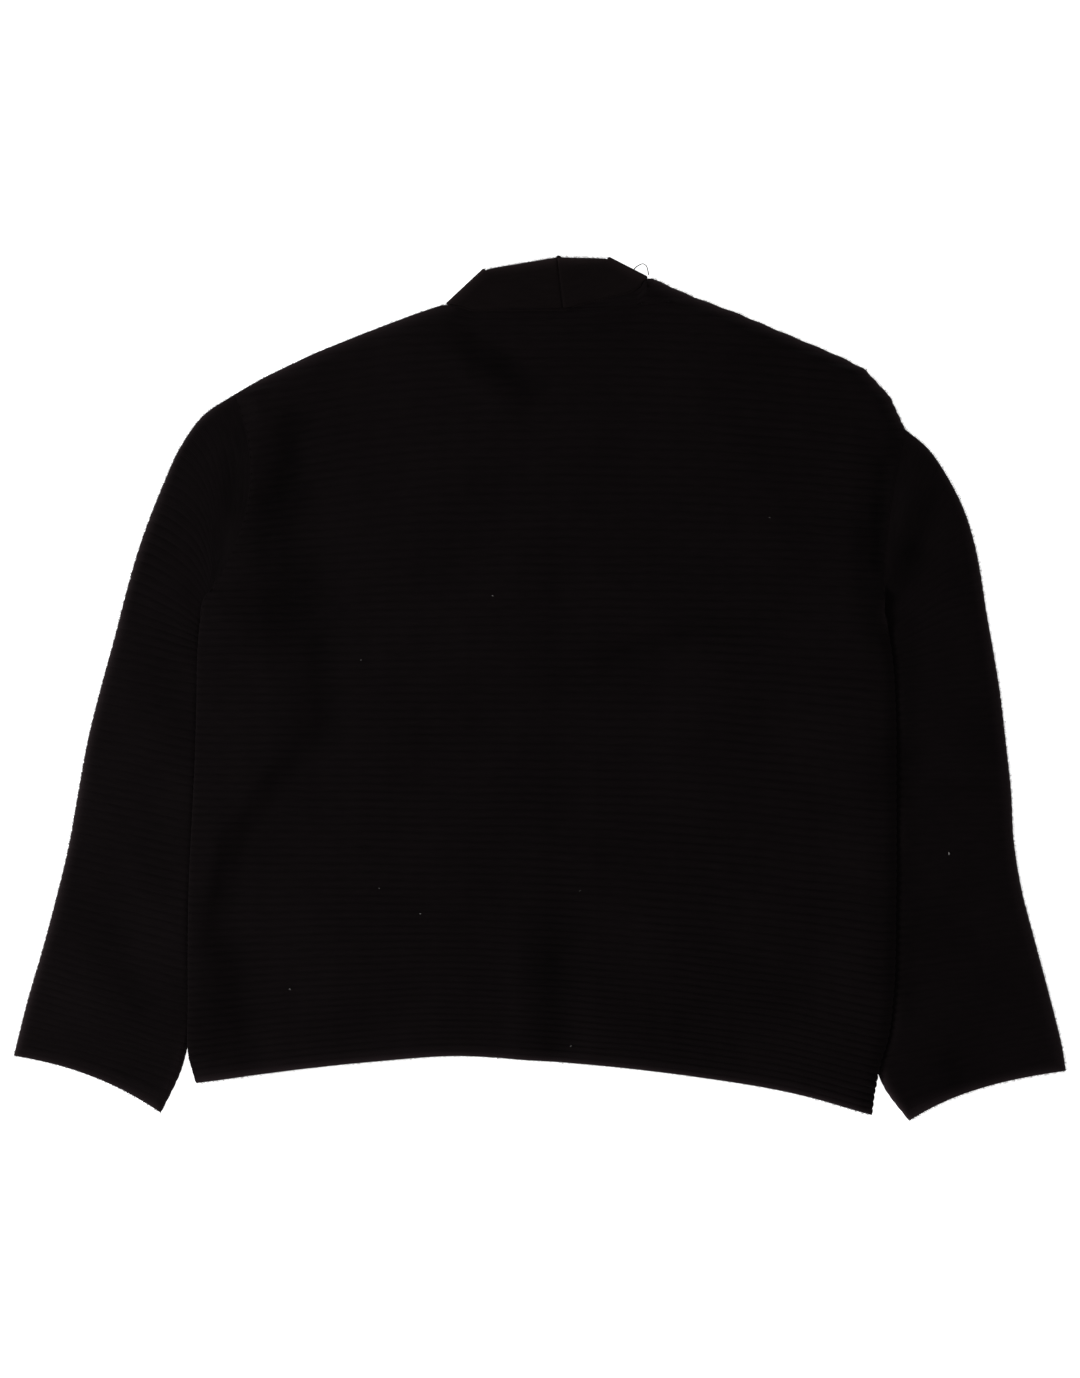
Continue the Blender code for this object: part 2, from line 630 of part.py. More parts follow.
def make_sleeve(name, sleeve, parent):
    """A flattened tube, ribbed above, plain inside and flat below, open at armhole and cuff."""
    step = 2 * SLEEVE_COARSE_RIBS
    shares = sleeve.shares()
    plan = sleeve.plan(shares)
    heights = sleeve.heights()
    rows, columns = shares.shape
    ridge = 2 * (np.arange(rows) % 2) - 1
    tucked = smooth(sleeve.tuck() / EDGE_WIDTH)
    rib_share = np.ones((rows, columns))
    rib_share[:, 0] = 0.0
    rib_share[:, -1] = 0.0
    rib_share[:, -3:-1] = (1 - (1 - TUCKED_RIB_SHARE) * tucked)[:, None]
    rib_share[0] = 0.0
    rib_share[-1] *= TUCKED_RIB_SHARE
    face = heights + rib_share * (ridge * RIB_HALF_DEPTH)[:, None]
    upper = np.dstack([plan, face])

    coarse = slice(0, rows, step)
    flat = np.zeros((len(shares[coarse]), columns - 2))
    below = np.dstack([plan[coarse, -2:0:-1], flat])
    inner_plan = sleeve.inner_plan(shares, plan)[coarse]
    ceiling = np.maximum(heights[coarse] - WALL, WALL + SLEEVE_AIR_FLOOR)
    middle = np.full(len(flat), (WALL + SLEEVE_AIR_FLOOR + WALL) / 2)
    ceiling[:, 0] = middle
    ceiling[:, -1] = middle
    inner_upper = np.dstack([inner_plan, ceiling])
    inner_below = np.dstack([inner_plan[:, -2:0:-1], flat + WALL])

    sheets = (upper, below, inner_upper, inner_below)
    starts = np.cumsum([0] + [sheet.shape[0] * sheet.shape[1] for sheet in sheets])
    numbers = [
        np.arange(sheet.shape[0] * sheet.shape[1]).reshape(sheet.shape[:2]) + start
        for sheet, start in zip(sheets, starts)
    ]
    top, floor, in_top, in_floor = numbers
    faces = []
    for row in range(rows - 1):
        faces += faces_between(top[row], top[row + 1])
    for row in range(len(floor) - 1):
        faces += faces_between(floor[row], floor[row + 1])
        for fold, edge in ((-1, 0), (0, -1)):
            near, far = floor[row, edge], floor[row + 1, edge]
            faces.append((top[row * step, fold], far, near))
            for fine in range(row * step, (row + 1) * step):
                faces.append((top[fine, fold], top[fine + 1, fold], far))
        inner_rings = [[*in_top[k], *in_floor[k], in_top[k, 0]] for k in (row, row + 1)]
        faces += faces_between(inner_rings[0], inner_rings[1])
    for fine, row in ((0, 0), (rows - 1, len(floor) - 1)):
        outside = [*top[fine], *floor[row], top[fine, 0]]
        inside = [*in_top[row], *in_floor[row], in_top[row, 0]]
        faces += faces_between(outside, inside)
    points = np.vstack([sheet.reshape(-1, 3) for sheet in sheets])
    closed_object(name, points, faces, KNIT_BLACK, parent)


def upper_band_points(fold, neck_points, centre_x, top_at_centre):
    """The back neck part of a band as pairs of points: on the seam, and on its free edge."""
    even = np.linspace(fold[0], centre_x, BAND_BACK_STEPS + 1)[1:]
    low, high = sorted((fold[0], centre_x))
    corners = neck_points[:, 0]
    corners = corners[(corners > low + EDGE_WIDTH) & (corners < high - EDGE_WIDTH)]
    seam_x = np.array(sorted(set(even) | set(corners), key=lambda x: abs(x - fold[0])))
    pairs = []
    for x in seam_x:
        share = (x - fold[0]) / (centre_x - fold[0])
        top = np.array(fold[2:4]) * (1 - share) + np.array(top_at_centre) * share
        seam_y = np.interp(x, neck_points[:, 0], neck_points[:, 1]) + SEAM_GAP
        pairs.append((np.array([x, seam_y]), top))
    return pairs


def make_band(name, edge_table, seam, fold, neck_points, inwards, parent):
    """A band: up the front edge below, folded at the side of the neck, and along the back neck."""
    keys = rising(edge_table)
    stations = []
    for x, y in seam[::-1]:
        edge = through(keys, np.array([y]))[0]
        start = np.array([x + inwards * SEAM_GAP, y])
        free = np.array([edge[1], edge[2]])
        stations.append((start, free, WALL / 2, np.array([0.0, 0.0, 1.0])))
    axis_start, axis_end = np.array(fold[0:2]), np.array(fold[2:4])
    along = (axis_end - axis_start) / np.linalg.norm(axis_end - axis_start)
    away = np.array([-along[1], along[0]]) * inwards
    set_in = -away * (BAND_FOLD_RADIUS + WALL / 2)
    middle = WALL / 2 + BAND_FOLD_RADIUS
    for turn in np.linspace(-np.pi / 2, np.pi / 2, BAND_FOLD_STEPS + 1):
        shift = set_in + away * np.cos(turn) * BAND_FOLD_RADIUS
        height = middle + np.sin(turn) * BAND_FOLD_RADIUS
        normal = np.array([-away[0] * np.cos(turn), -away[1] * np.cos(turn), -np.sin(turn)])
        stations.append((axis_start + shift, axis_end + shift, height, normal))
    centre_x = CENTRE_SEAM_X - inwards * SEAM_GAP / 2
    centre_top = (CENTRE_TOP[0] - inwards * SEAM_GAP / 2, CENTRE_TOP[1])
    moved = (*(axis_start + set_in), *(axis_end + set_in))
    for start, free in upper_band_points(moved, neck_points, centre_x, centre_top):
        stations.append((start, free, BAND_UPPER_MIDDLE, np.array([0.0, 0.0, -1.0])))
    points = []
    for start, free, height, normal in stations:
        for plan in (start, free):
            centre = np.array([*plan, height])
            points.append(centre + normal * WALL / 2)
            points.append(centre - normal * WALL / 2)
    faces = []
    for index in range(len(stations) - 1):
        near = [4 * index + k for k in (0, 2, 3, 1, 0)]
        far = [4 * (index + 1) + k for k in (0, 2, 3, 1, 0)]
        faces += faces_between(near, far)
    faces.append((0, 2, 3, 1))
    last = 4 * (len(stations) - 1)
    faces.append((last, last + 1, last + 3, last + 2))
    closed_object(name, points, faces, BAND_BLACK, parent)


def centre_on_origin():
    """Moves every mesh so that the origin is under the middle of the garment."""
    objects = [item for item in bpy.data.objects if item.type == "MESH"]
    corners = np.array([tuple(vertex.co) for item in objects for vertex in item.data.vertices])
    low, high = corners.min(axis=0), corners.max(axis=0)
    shift = np.array([-(low[0] + high[0]) / 2, -(low[1] + high[1]) / 2, -low[2]])
    for item in objects:
        for vertex in item.data.vertices:
            vertex.co = tuple(np.array(vertex.co) + shift)


def main():
    for item in list(bpy.data.objects):
        bpy.data.objects.remove(item)
    cardigan = bpy.data.objects.new("cardigan", None)
    bpy.context.scene.collection.objects.link(cardigan)

    left_table = np.array([(row[1], row[0]) for row in rising(LEFT_SIDE)])
    right_table = np.array([(row[1], row[0]) for row in rising(RIGHT_SIDE)])
    left_sleeve = Sleeve(LEFT_SLEEVE, left_table, -1.0)
    right_sleeve = Sleeve(RIGHT_SLEEVE, right_table, 1.0)
    body = Body(left_sleeve, right_sleeve)

    back = make_back(body, cardigan)
    left_seam = make_front("front_left", body, left_sleeve, LEFT_FRONT_EDGE, cardigan)
    right_seam = make_front("front_right", body, right_sleeve, RIGHT_FRONT_EDGE, cardigan)
    make_sleeve("sleeve_left", left_sleeve, cardigan)
    make_sleeve("sleeve_right", right_sleeve, cardigan)

    ends = back[:, 0, :2]
    on_neck = ends[(ends[:, 0] > NECK_LEFT) & (ends[:, 1] > TOP_ROW_HEIGHT - NECK_DEPTH)]
    corner = back[len(on_neck), 0, :2]
    apex = back[0, -1, :2]
    neck_points = np.vstack([corner, on_neck[::-1], apex])
    make_band("band_left", LEFT_FRONT_EDGE, left_seam, LEFT_FOLD, neck_points, 1.0, cardigan)
    make_band("band_right", RIGHT_FRONT_EDGE, right_seam, RIGHT_FOLD, neck_points, -1.0, cardigan)
    centre_on_origin()


main()
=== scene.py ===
"""The looks of a black cross-rib cardigan, laid flat on its front with its back uppermost.

X runs across the garment, Y up from hem to neck and Z up from the surface it lies on. Every panel
is a thin shell whose outline, ribs and soft creases are functions of two parameters on a grid.
"""

import logging
from dataclasses import dataclass, field
from enum import Enum

import bmesh
import bpy
import numpy as np
from bpy.types import ID, Material, Node, NodeTree, Object
from bpy.types import NodeSocket as Socket
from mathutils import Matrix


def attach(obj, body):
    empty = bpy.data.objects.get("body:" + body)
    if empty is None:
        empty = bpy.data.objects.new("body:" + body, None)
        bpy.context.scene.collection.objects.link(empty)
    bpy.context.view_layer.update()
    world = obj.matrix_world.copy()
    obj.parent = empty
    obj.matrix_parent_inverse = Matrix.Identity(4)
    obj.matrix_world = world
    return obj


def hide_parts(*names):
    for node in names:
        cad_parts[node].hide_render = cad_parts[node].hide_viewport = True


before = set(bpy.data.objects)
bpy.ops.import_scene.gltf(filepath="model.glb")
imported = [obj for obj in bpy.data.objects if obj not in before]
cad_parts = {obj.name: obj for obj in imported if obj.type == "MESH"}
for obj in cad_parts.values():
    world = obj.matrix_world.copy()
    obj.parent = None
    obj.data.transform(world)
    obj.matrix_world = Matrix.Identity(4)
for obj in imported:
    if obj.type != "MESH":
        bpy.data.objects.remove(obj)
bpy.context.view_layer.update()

Array = np.ndarray
Table = tuple[tuple[float, ...], ...]

# For each line across the band: its seam end, its free end, its middle height, its face's normal
CrossLines = tuple[Array, Array, Array, Array]

UP = np.array([0.0, 0.0, 1.0])
TINY = 1e-12
WHITE = (1.0, 1.0, 1.0, 1.0)
log = logging.getLogger("cardigan")

# The tables measure from a point that lies here in the garment's own frame
TABLES_TO_GARMENT = (-0.000491, 0.00075, 0.0)

# The shoulder and neck line, from left to right: x, y
SHOULDER_AND_NECK = (
    (-0.2351, 0.2262),
    (-0.2119, 0.2393),
    (-0.1733, 0.2578),
    (-0.1347, 0.2733),
    (-0.0961, 0.288),
    (-0.0706, 0.2964),
    (-0.0652, 0.2975),
    (0.0181, 0.2972),
    (0.0467, 0.3065),
    (0.0675, 0.3119),
    (0.0838, 0.3173),
    (0.1162, 0.3026),
    (0.1548, 0.288),
    (0.1934, 0.2717),
    (0.232, 0.2555),
    (0.2513, 0.2455),
    (0.2706, 0.2247),
    (0.2822, 0.1992),
)
NECK_LEFT = -0.0700
NECK_RIGHT = 0.0838

# The side of the body below the underarm, from the top: y, x
LEFT_SIDE = (
    (0.0679, -0.2575),
    (0.061, -0.2592),
    (0.052, -0.2604),
    (0.042, -0.2615),
    (0.025, -0.2626),
    (-0.0093, -0.2632),
    (-0.0556, -0.2645),
    (-0.1019, -0.2668),
    (-0.1482, -0.269),
    (-0.2409, -0.2698),
    (-0.2856, -0.269),
    (-0.3042, -0.2644),
)
RIGHT_SIDE = (
    (0.0564, 0.2652),
    (0.051, 0.2672),
    (0.045, 0.2684),
    (0.035, 0.2702),
    (0.015, 0.2726),
    (-0.0093, 0.274),
    (-0.0865, 0.2748),
    (-0.1637, 0.2746),
    (-0.2409, 0.2722),
    (-0.27, 0.2684),
    (-0.2872, 0.2632),
    (-0.2988, 0.2606),
    (-0.3281, 0.2567),
)

# How far a rib lies below its own height at the middle, for ribs at six heights.
# The first row of numbers is x. After it each row is: height, then the fall at each x.
RIB_FALL_X = (-0.264, -0.177, -0.123, -0.069, 0.0, 0.062, 0.124, 0.201, 0.263)
RIB_FALLS = (
    (0.2995, 0.0286, 0.0139, 0.0059, 0.0015, 0.0, 0.0, 0.0019, 0.0073, 0.0134),
    (0.1992, 0.0286, 0.0139, 0.0059, 0.0015, 0.0, 0.0, 0.0019, 0.0073, 0.0134),
    (0.0911, 0.0085, 0.0054, 0.0031, 0.0008, 0.0, 0.0, 0.0008, 0.0023, 0.0046),
    (-0.0247, 0.0, 0.0, 0.0, 0.0, 0.0, 0.0005, 0.0023, 0.0085, 0.0154),
    (-0.1637, -0.0023, -0.0027, -0.0027, -0.0019, 0.0, 0.0039, 0.0089, 0.0174, 0.0255),
    (-0.2872, 0.017, 0.0054, 0.0, -0.0039, 0.0, 0.005, 0.0127, 0.0262, 0.044),
)
TOP_ROW_HEIGHT = 0.3166
HEM_ROW_HEIGHT = -0.2872

# Pitch of the ribs down the back: height, pitch
BACK_PITCH = (
    (0.3166, 0.00695),
    (0.1297, 0.00695),
    (0.0834, 0.00664),
    (-0.0556, 0.00648),
    (-0.1019, 0.00633),
    (-0.1482, 0.00618),
    (-0.1945, 0.0056),
    (-0.2409, 0.00494),
    (-0.2872, 0.0047),
)

# Pitch of the ribs along a sleeve's outer edge: distance from the shoulder, pitch
SLEEVE_PITCH = (
    (0.0, 0.0081),
    (0.08, 0.0081),
    (0.21, 0.0077),
    (0.26, 0.0071),
    (0.34, 0.0067),
    (0.42, 0.0062),
    (0.55, 0.005),
)

# Lines across each sleeve, from the armhole to the cuff: the outer fold's x and y, a point that
# bows the line, and the inner fold's x and y
LEFT_SLEEVE = (
    (-0.2351, 0.2262, -0.2003, 0.149, -0.2575, 0.0679),
    (-0.2582, 0.2108, -0.2196, 0.1606, -0.2557, 0.0644),
    (-0.2768, 0.1853, -0.2351, 0.1606, -0.2535, 0.06),
    (-0.2899, 0.1567, -0.242, 0.1451, -0.2515, 0.055),
    (-0.3007, 0.1297, -0.2505, 0.1143, -0.2492, 0.049),
    (-0.31, 0.1027, -0.2621, 0.088, -0.2455, 0.04),
    (-0.3177, 0.0757, -0.2775, 0.0633, -0.237, 0.028),
    (-0.3277, 0.0371, -0.2737, 0.0247, -0.222, 0.0124),
    (-0.3362, 0.0062, -0.2698, -0.0077, -0.2034, -0.0216),
    (-0.347, -0.0363, -0.2806, -0.0494, -0.221, -0.0633),
    (-0.3563, -0.0865, -0.3007, -0.098, -0.248, -0.1096),
    (-0.3625, -0.1212, -0.3061, -0.1328, -0.256, -0.1451),
    (-0.3717, -0.1598, -0.3123, -0.1729, -0.259, -0.1868),
    (-0.3841, -0.2061, -0.32, -0.2231, -0.263, -0.2409),
    (-0.3949, -0.2432, -0.33, -0.2609, -0.2715, -0.2795),
    (-0.4011, -0.2679, -0.3393, -0.2795, -0.2791, -0.3026),
    (-0.4049, -0.2833, -0.3393, -0.2934, -0.2914, -0.3273),
)
RIGHT_SLEEVE = (
    (0.2822, 0.1992, 0.2644, 0.132, 0.2652, 0.0564),
    (0.2984, 0.1856, 0.2783, 0.1413, 0.2632, 0.053),
    (0.3148, 0.162, 0.2876, 0.1336, 0.2612, 0.0488),
    (0.3274, 0.1366, 0.2937, 0.1143, 0.2596, 0.044),
    (0.3358, 0.109, 0.2899, 0.0973, 0.258, 0.0382),
    (0.34, 0.0876, 0.2922, 0.0757, 0.2562, 0.0315),
    (0.3439, 0.0618, 0.2976, 0.054, 0.2535, 0.0215),
    (0.3496, 0.0293, 0.2976, 0.0185, 0.249, 0.0093),
    (0.3546, -0.0015, 0.2968, -0.0062, 0.242, -0.0116),
    (0.3592, -0.0401, 0.3015, -0.0409, 0.249, -0.0425),
    (0.3634, -0.0787, 0.3053, -0.0787, 0.2545, -0.0787),
    (0.3655, -0.1173, 0.3092, -0.1197, 0.2575, -0.1212),
    (0.3709, -0.1521, 0.3115, -0.1583, 0.258, -0.1637),
    (0.381, -0.1922, 0.3169, -0.1999, 0.2578, -0.2077),
    (0.391, -0.2293, 0.3215, -0.2401, 0.257, -0.2501),
    (0.398, -0.2563, 0.3246, -0.2687, 0.2567, -0.2833),
    (0.4026, -0.2756, 0.3323, -0.291, 0.266, -0.3088),
    (0.4057, -0.2949, 0.3285, -0.3042, 0.2845, -0.3335),
)

# The front edges, from the hem up: the band seam's y and x, then the band's free edge, x and y
LEFT_FRONT_EDGE = (
    (-0.2841, -0.0459, -0.0112, -0.2849),
    (-0.1328, -0.0413, -0.0066, -0.1328),
    (0.0988, -0.039, -0.0042, 0.0988),
    (0.2069, -0.0413, -0.005, 0.2185),
    (0.2609, -0.0537, -0.0266, 0.2764),
    (0.2964, -0.064, -0.0405, 0.3215),
)
RIGHT_FRONT_EDGE = (
    (-0.2926, 0.0621, 0.0274, -0.2887),
    (-0.1328, 0.0513, 0.0166, -0.1328),
    (0.0988, 0.0421, 0.0073, 0.0988),
    (0.2069, 0.0452, 0.0089, 0.2208),
    (0.2648, 0.0637, 0.0336, 0.2802),
    (0.315, 0.082, 0.0511, 0.3297),
)

# The neckband's folds at the sides of the neck: seam end x, y and top x, y
LEFT_FOLD = (-0.0724, 0.2966, -0.0422, 0.3248)
RIGHT_FOLD = (0.0838, 0.3173, 0.0524, 0.3334)
CENTRE_TOP = (0.0135, 0.332)
CENTRE_SEAM_X = 0.0184

# The crease below the top edge of the neckband's right half: from x, to x, and depth
RIGHT_GROOVE = (0.0158, 0.05, 0.00035)

# The band's seam at the centre back, from the neck up, and the knot at its top: x, y, z
CENTRE_SEAM = (
    (0.0184, 0.2922, 0.004),
    (0.01595, 0.312, 0.0042),
    (0.0135, 0.3316, 0.004),
)
CENTRE_KNOT = (0.0148, 0.3322, 0.004)

# Soft troughs in the back: start x, y, end x, y, half width, depth. They run from the hem's middle
# to the left arm and side, the right arm, the neck, and last the middle and right of the back.
BACK_TROUGHS = (
    (0.013, -0.208, 0.0135, -0.296, 0.015, 0.0017),
    (-0.1885, 0.203, -0.1945, 0.15, 0.015, 0.0021),
    (-0.196, 0.14, -0.19, 0.07, 0.031, 0.0016),
    (-0.208, 0.142, -0.215, 0.106, 0.013, 0.0009),
    (-0.166, 0.032, -0.164, -0.033, 0.014, 0.0013),
    (-0.179, -0.04, -0.21, -0.072, 0.009, 0.0003),
    (-0.214, -0.072, -0.239, -0.112, 0.008, 0.0003),
    (-0.244, -0.114, -0.248, -0.156, 0.007, 0.0007),
    (-0.25, -0.162, -0.259, -0.1945, 0.007, 0.0007),
    (-0.231, -0.205, -0.228, -0.244, 0.013, 0.0008),
    (-0.225, -0.2563, -0.221, -0.29, 0.011, 0.0008),
    (0.2648, 0.172, 0.262, 0.137, 0.0065, 0.0015),
    (0.262, 0.137, 0.2605, 0.096, 0.0065, 0.0017),
    (0.2605, 0.096, 0.265, 0.07, 0.007, 0.0005),
    (0.252, 0.12, 0.256, 0.045, 0.015, 0.001),
    (-0.053, 0.267, -0.029, 0.25, 0.013, 0.0014),
    (-0.03, 0.25, -0.003, 0.231, 0.011, 0.0013),
    (0.014, 0.11, 0.014, -0.185, 0.014, 0.0007),
    (0.05, 0.024, 0.1162, 0.042, 0.008, 0.0008),
    (0.1162, 0.042, 0.195, 0.056, 0.009, 0.0004),
    (0.09, -0.15, 0.15, -0.21, 0.016, 0.0005),
    (0.13, 0.23, 0.175, 0.19, 0.014, 0.0003),
)

# Soft ridges in the back, in the same columns, with a height in place of the depth
BACK_RIDGES = (
    (0.242, 0.195, 0.24, 0.07, 0.011, 0.0008),
    (0.25, 0.06, 0.25, -0.27, 0.012, 0.0002),
    (-0.013, -0.195, -0.012, -0.29, 0.013, 0.0012),
    (0.052, -0.2, 0.053, -0.25, 0.02, 0.0005),
    (0.086, -0.235, 0.086, -0.3, 0.034, 0.0016),
    (-0.061, 0.25, -0.026, 0.22, 0.012, 0.0014),
    (-0.014, 0.1, -0.014, -0.17, 0.02, 0.0003),
    (0.0776, 0.0455, 0.1162, 0.051, 0.01, 0.0004),
)

# Soft troughs and ridges in the sleeves' upper halves, where a height below zero is a trough
LEFT_SLEEVE_FOLDS = (
    (-0.231, 0.198, -0.235, 0.14, 0.009, -0.001),
    (-0.264, 0.075, -0.262, 0.03, 0.01, -0.0004),
    (-0.29, 0.05, -0.278, -0.03, 0.016, -0.0003),
    (-0.298, -0.07, -0.29, -0.16, 0.014, -0.0003),
    (-0.338, -0.04, -0.344, -0.15, 0.016, 0.0004),
    (-0.37, -0.225, -0.31, -0.242, 0.01, 0.0004),
    (-0.315, 0.05, -0.32, -0.02, 0.014, 0.0004),
    (-0.325, -0.19, -0.305, -0.25, 0.012, -0.0003),
)
RIGHT_SLEEVE_FOLDS = (
    (0.302, 0.144, 0.288, 0.106, 0.01, -0.0011),
    (0.288, 0.106, 0.28, 0.084, 0.01, -0.0008),
    (0.2806, 0.1683, 0.277, 0.13, 0.008, 0.0008),
    (0.286, 0.05, 0.286, -0.05, 0.01, -0.0004),
    (0.286, -0.05, 0.285, -0.25, 0.01, -0.0004),
    (0.325, 0.09, 0.333, -0.06, 0.016, 0.0005),
    (0.305, -0.0772, 0.35, -0.076, 0.006, -0.0004),
    (0.318, -0.288, 0.321, -0.302, 0.01, -0.0007),
    (0.335, -0.14, 0.348, -0.22, 0.016, 0.0005),
)

# Pale lint on the cloth: x, y, length, turn in degrees, radius
LINT = (
    (0.1772, 0.1312, 0.0011, 20.0, 0.00013),
    (0.0807, 0.0919, 0.0009, 70.0, 0.0001),
    (-0.0359, 0.071, 0.0013, 140.0, 0.00022),
    (-0.137, 0.0216, 0.0014, 35.0, 0.00016),
    (-0.1231, -0.1544, 0.0013, 110.0, 0.00013),
    (-0.0915, -0.1737, 0.0013, 5.0, 0.00024),
    (0.0313, -0.1559, 0.001, 60.0, 0.00011),
    (0.3154, -0.1274, 0.0019, 95.0, 0.0005),
    (-0.1918, -0.2316, 0.0016, 150.0, 0.00023),
    (0.0243, -0.2756, 0.0013, 45.0, 0.00022),
)

# The loose thread at the top of the neckband: x, y, z
LOOSE_THREAD = (
    (0.0722, 0.32, 0.004),
    (0.0734, 0.3231, 0.005),
    (0.0763, 0.3253, 0.006),
    (0.0797, 0.3265, 0.0065),
    (0.0822, 0.3252, 0.0062),
    (0.0834, 0.3222, 0.0055),
    (0.0842, 0.318, 0.004),
)


class Side(Enum):
    """A side of the garment, seen from above with the neck at the top; its value points outwards."""

    LEFT = -1.0
    RIGHT = 1.0


class Slot(Enum):
    """The record's material slots."""

    RIB_KNIT = "rib_knit"
    SMOOTH_KNIT = "smooth_knit"


def ease(share: Array) -> Array:
    """Eases from 0 to 1 as the share does, with level ends."""
    held = np.clip(share, 0.0, 1.0)
    return held * held * (3.0 - 2.0 * held)


def rounding(distance: Array, radius: float) -> Array:
    """A quarter circle: 0 on an edge, 1 from a radius's distance on."""
    return np.sqrt(1.0 - (1.0 - np.clip(distance / radius, 0.0, 1.0)) ** 2)


def rising(table: Table) -> Array:
    """A table's rows in the order in which its first column rises."""
    return np.array(sorted(table, key=lambda row: row[0]), float)


def through(table: Table | Array, at: Array) -> Array:
    """A smooth curve through a table's rows, made of cubic pieces that share their slopes.

    Args:
        table: rows whose first column rises and is the key.
        at: keys to read the curve at, of any shape.

    Returns:
        The other columns at each key, as the last axis.
    """
    rows = np.asarray(table, float)
    keys, values = rows[:, 0], rows[:, 1:]
    slopes = np.gradient(values, keys, axis=0)
    at = np.clip(np.asarray(at, float), keys[0], keys[-1])
    piece = np.clip(np.searchsorted(keys, at, side="right") - 1, 0, len(keys) - 2)
    step = (keys[piece + 1] - keys[piece])[..., None]
    t = (at - keys[piece])[..., None] / step
    start = values[piece] * (1 + 2 * t) * (1 - t) ** 2 + slopes[piece] * step * t * (1 - t) ** 2
    end = values[piece + 1] * t**2 * (3 - 2 * t) + slopes[piece + 1] * step * t**2 * (t - 1)
    return start + end


def along_path(points: Array) -> Array:
    """The distance from a path's start to each of its points."""
    steps = np.linalg.norm(np.diff(points, axis=0), axis=1)
    return np.concatenate([[0.0], np.cumsum(steps)])


def resampled(points: Array, spacing: float) -> Array:
    """A path's points set out evenly on a smooth curve through them.

    Args:
        points: the path.
        spacing: about how far apart the new points are.

    Returns:
        The new points.
    """
    along = along_path(points)
    count = max(3, int(round(along[-1] / spacing)) + 1)
    even = np.linspace(0.0, along[-1], count)
    return through(np.column_stack([along, points]), even)


def softened(values: Array, places: Array, reach: float) -> Array:
    """Each value's mean with its neighbours, weighted by a bell of the reach along their places."""
    weight = np.exp(-(((places[:, None] - places) / reach) ** 2)) * abs(np.gradient(places))
    return weight @ values / weight.sum(axis=1)


def unit(vectors: Array) -> Array:
    """Vectors of length 1 in the same directions."""
    return vectors / np.maximum(np.linalg.norm(vectors, axis=-1, keepdims=True), TINY)


def between(places: Array, low: float, high: float, rise: float, fall: float) -> Array:
    """1 between two places and 0 beyond them, eased in over the rise and out over the fall."""
    return ease((places - low) / rise) * ease((high - places) / fall)


def inner_shares(count: int) -> Array:
    """Even shares of a length, with its two ends left out."""
    return np.linspace(0.0, 1.0, count + 2)[1:-1]


def across_shares(edge: Array, count: int) -> Array:
    """Shares across a width: close together at both edges, and even between them.

    Args:
        edge: the shares near an edge, a row for each line across.
        count: the number of even shares.

    Returns:
        A row of shares for each line.
    """
    span = 1 - 2 * edge[:, -1:]
    return np.concatenate([edge, edge[:, -1:] + span * inner_shares(count), 1 - edge[:, ::-1]], axis=1)


def ring_shares(edge: Array, upper: int, lower: int) -> tuple[Array, Array]:
    """Shares round a flat tube: across its upper face, and back across its lower one.

    Args:
        edge: the shares near an edge, a row for each ring.
        upper: the number of even shares on the upper face.
        lower: the number on the lower face.

    Returns:
        A row of shares for each ring, and which columns lie on the upper face.
    """
    over, under = across_shares(edge, upper), across_shares(edge, lower)
    shares = np.concatenate([over, under[:, -2:0:-1]], axis=1)
    return shares, np.arange(shares.shape[1]) < over.shape[1]


def bells(x: Array, y: Array, folds: Table) -> Array:
    """The height of each soft fold at each point.

    A fold is highest on its line and falls off as a bell, exp(-(distance / half width)^2).

    Args:
        x, y: the points' places.
        folds: rows of start x, y, end x, y, half width and height.

    Returns:
        The heights, with a last axis for the folds.
    """
    table = np.array(folds)
    start, run = table[:, 0:2], table[:, 2:4] - table[:, 0:2]
    from_start = np.stack([x, y], axis=-1)[..., None, :] - start
    share = np.clip((from_start * run).sum(-1) / (run * run).sum(-1), 0.0, 1.0)
    away = np.linalg.norm(from_start - share[..., None] * run, axis=-1)
    return table[:, 5] * np.exp(-((away / table[:, 4]) ** 2))


@dataclass(frozen=True)
class Undulation:
    """Seeded low waves in several directions, added up, for cloth that is never quite even."""

    seed: int
    height: float
    shortest: float
    longest: float
    waves: int = 9

    def at(self, x: Array, y: Array) -> Array:
        """The sum of sine waves, about as high as the height.

        Args:
            x, y: the points' places.

        Returns:
            The height at each point.
        """
        draw = np.random.default_rng(self.seed)
        turn = draw.uniform(0.0, 2 * np.pi, self.waves)
        number = 2 * np.pi / draw.uniform(self.shortest, self.longest, self.waves)
        phase = draw.uniform(0.0, 2 * np.pi, self.waves)
        across = x[..., None] * np.cos(turn) + y[..., None] * np.sin(turn)
        return self.height * np.sin(across * number + phase).sum(-1) / np.sqrt(self.waves / 2)


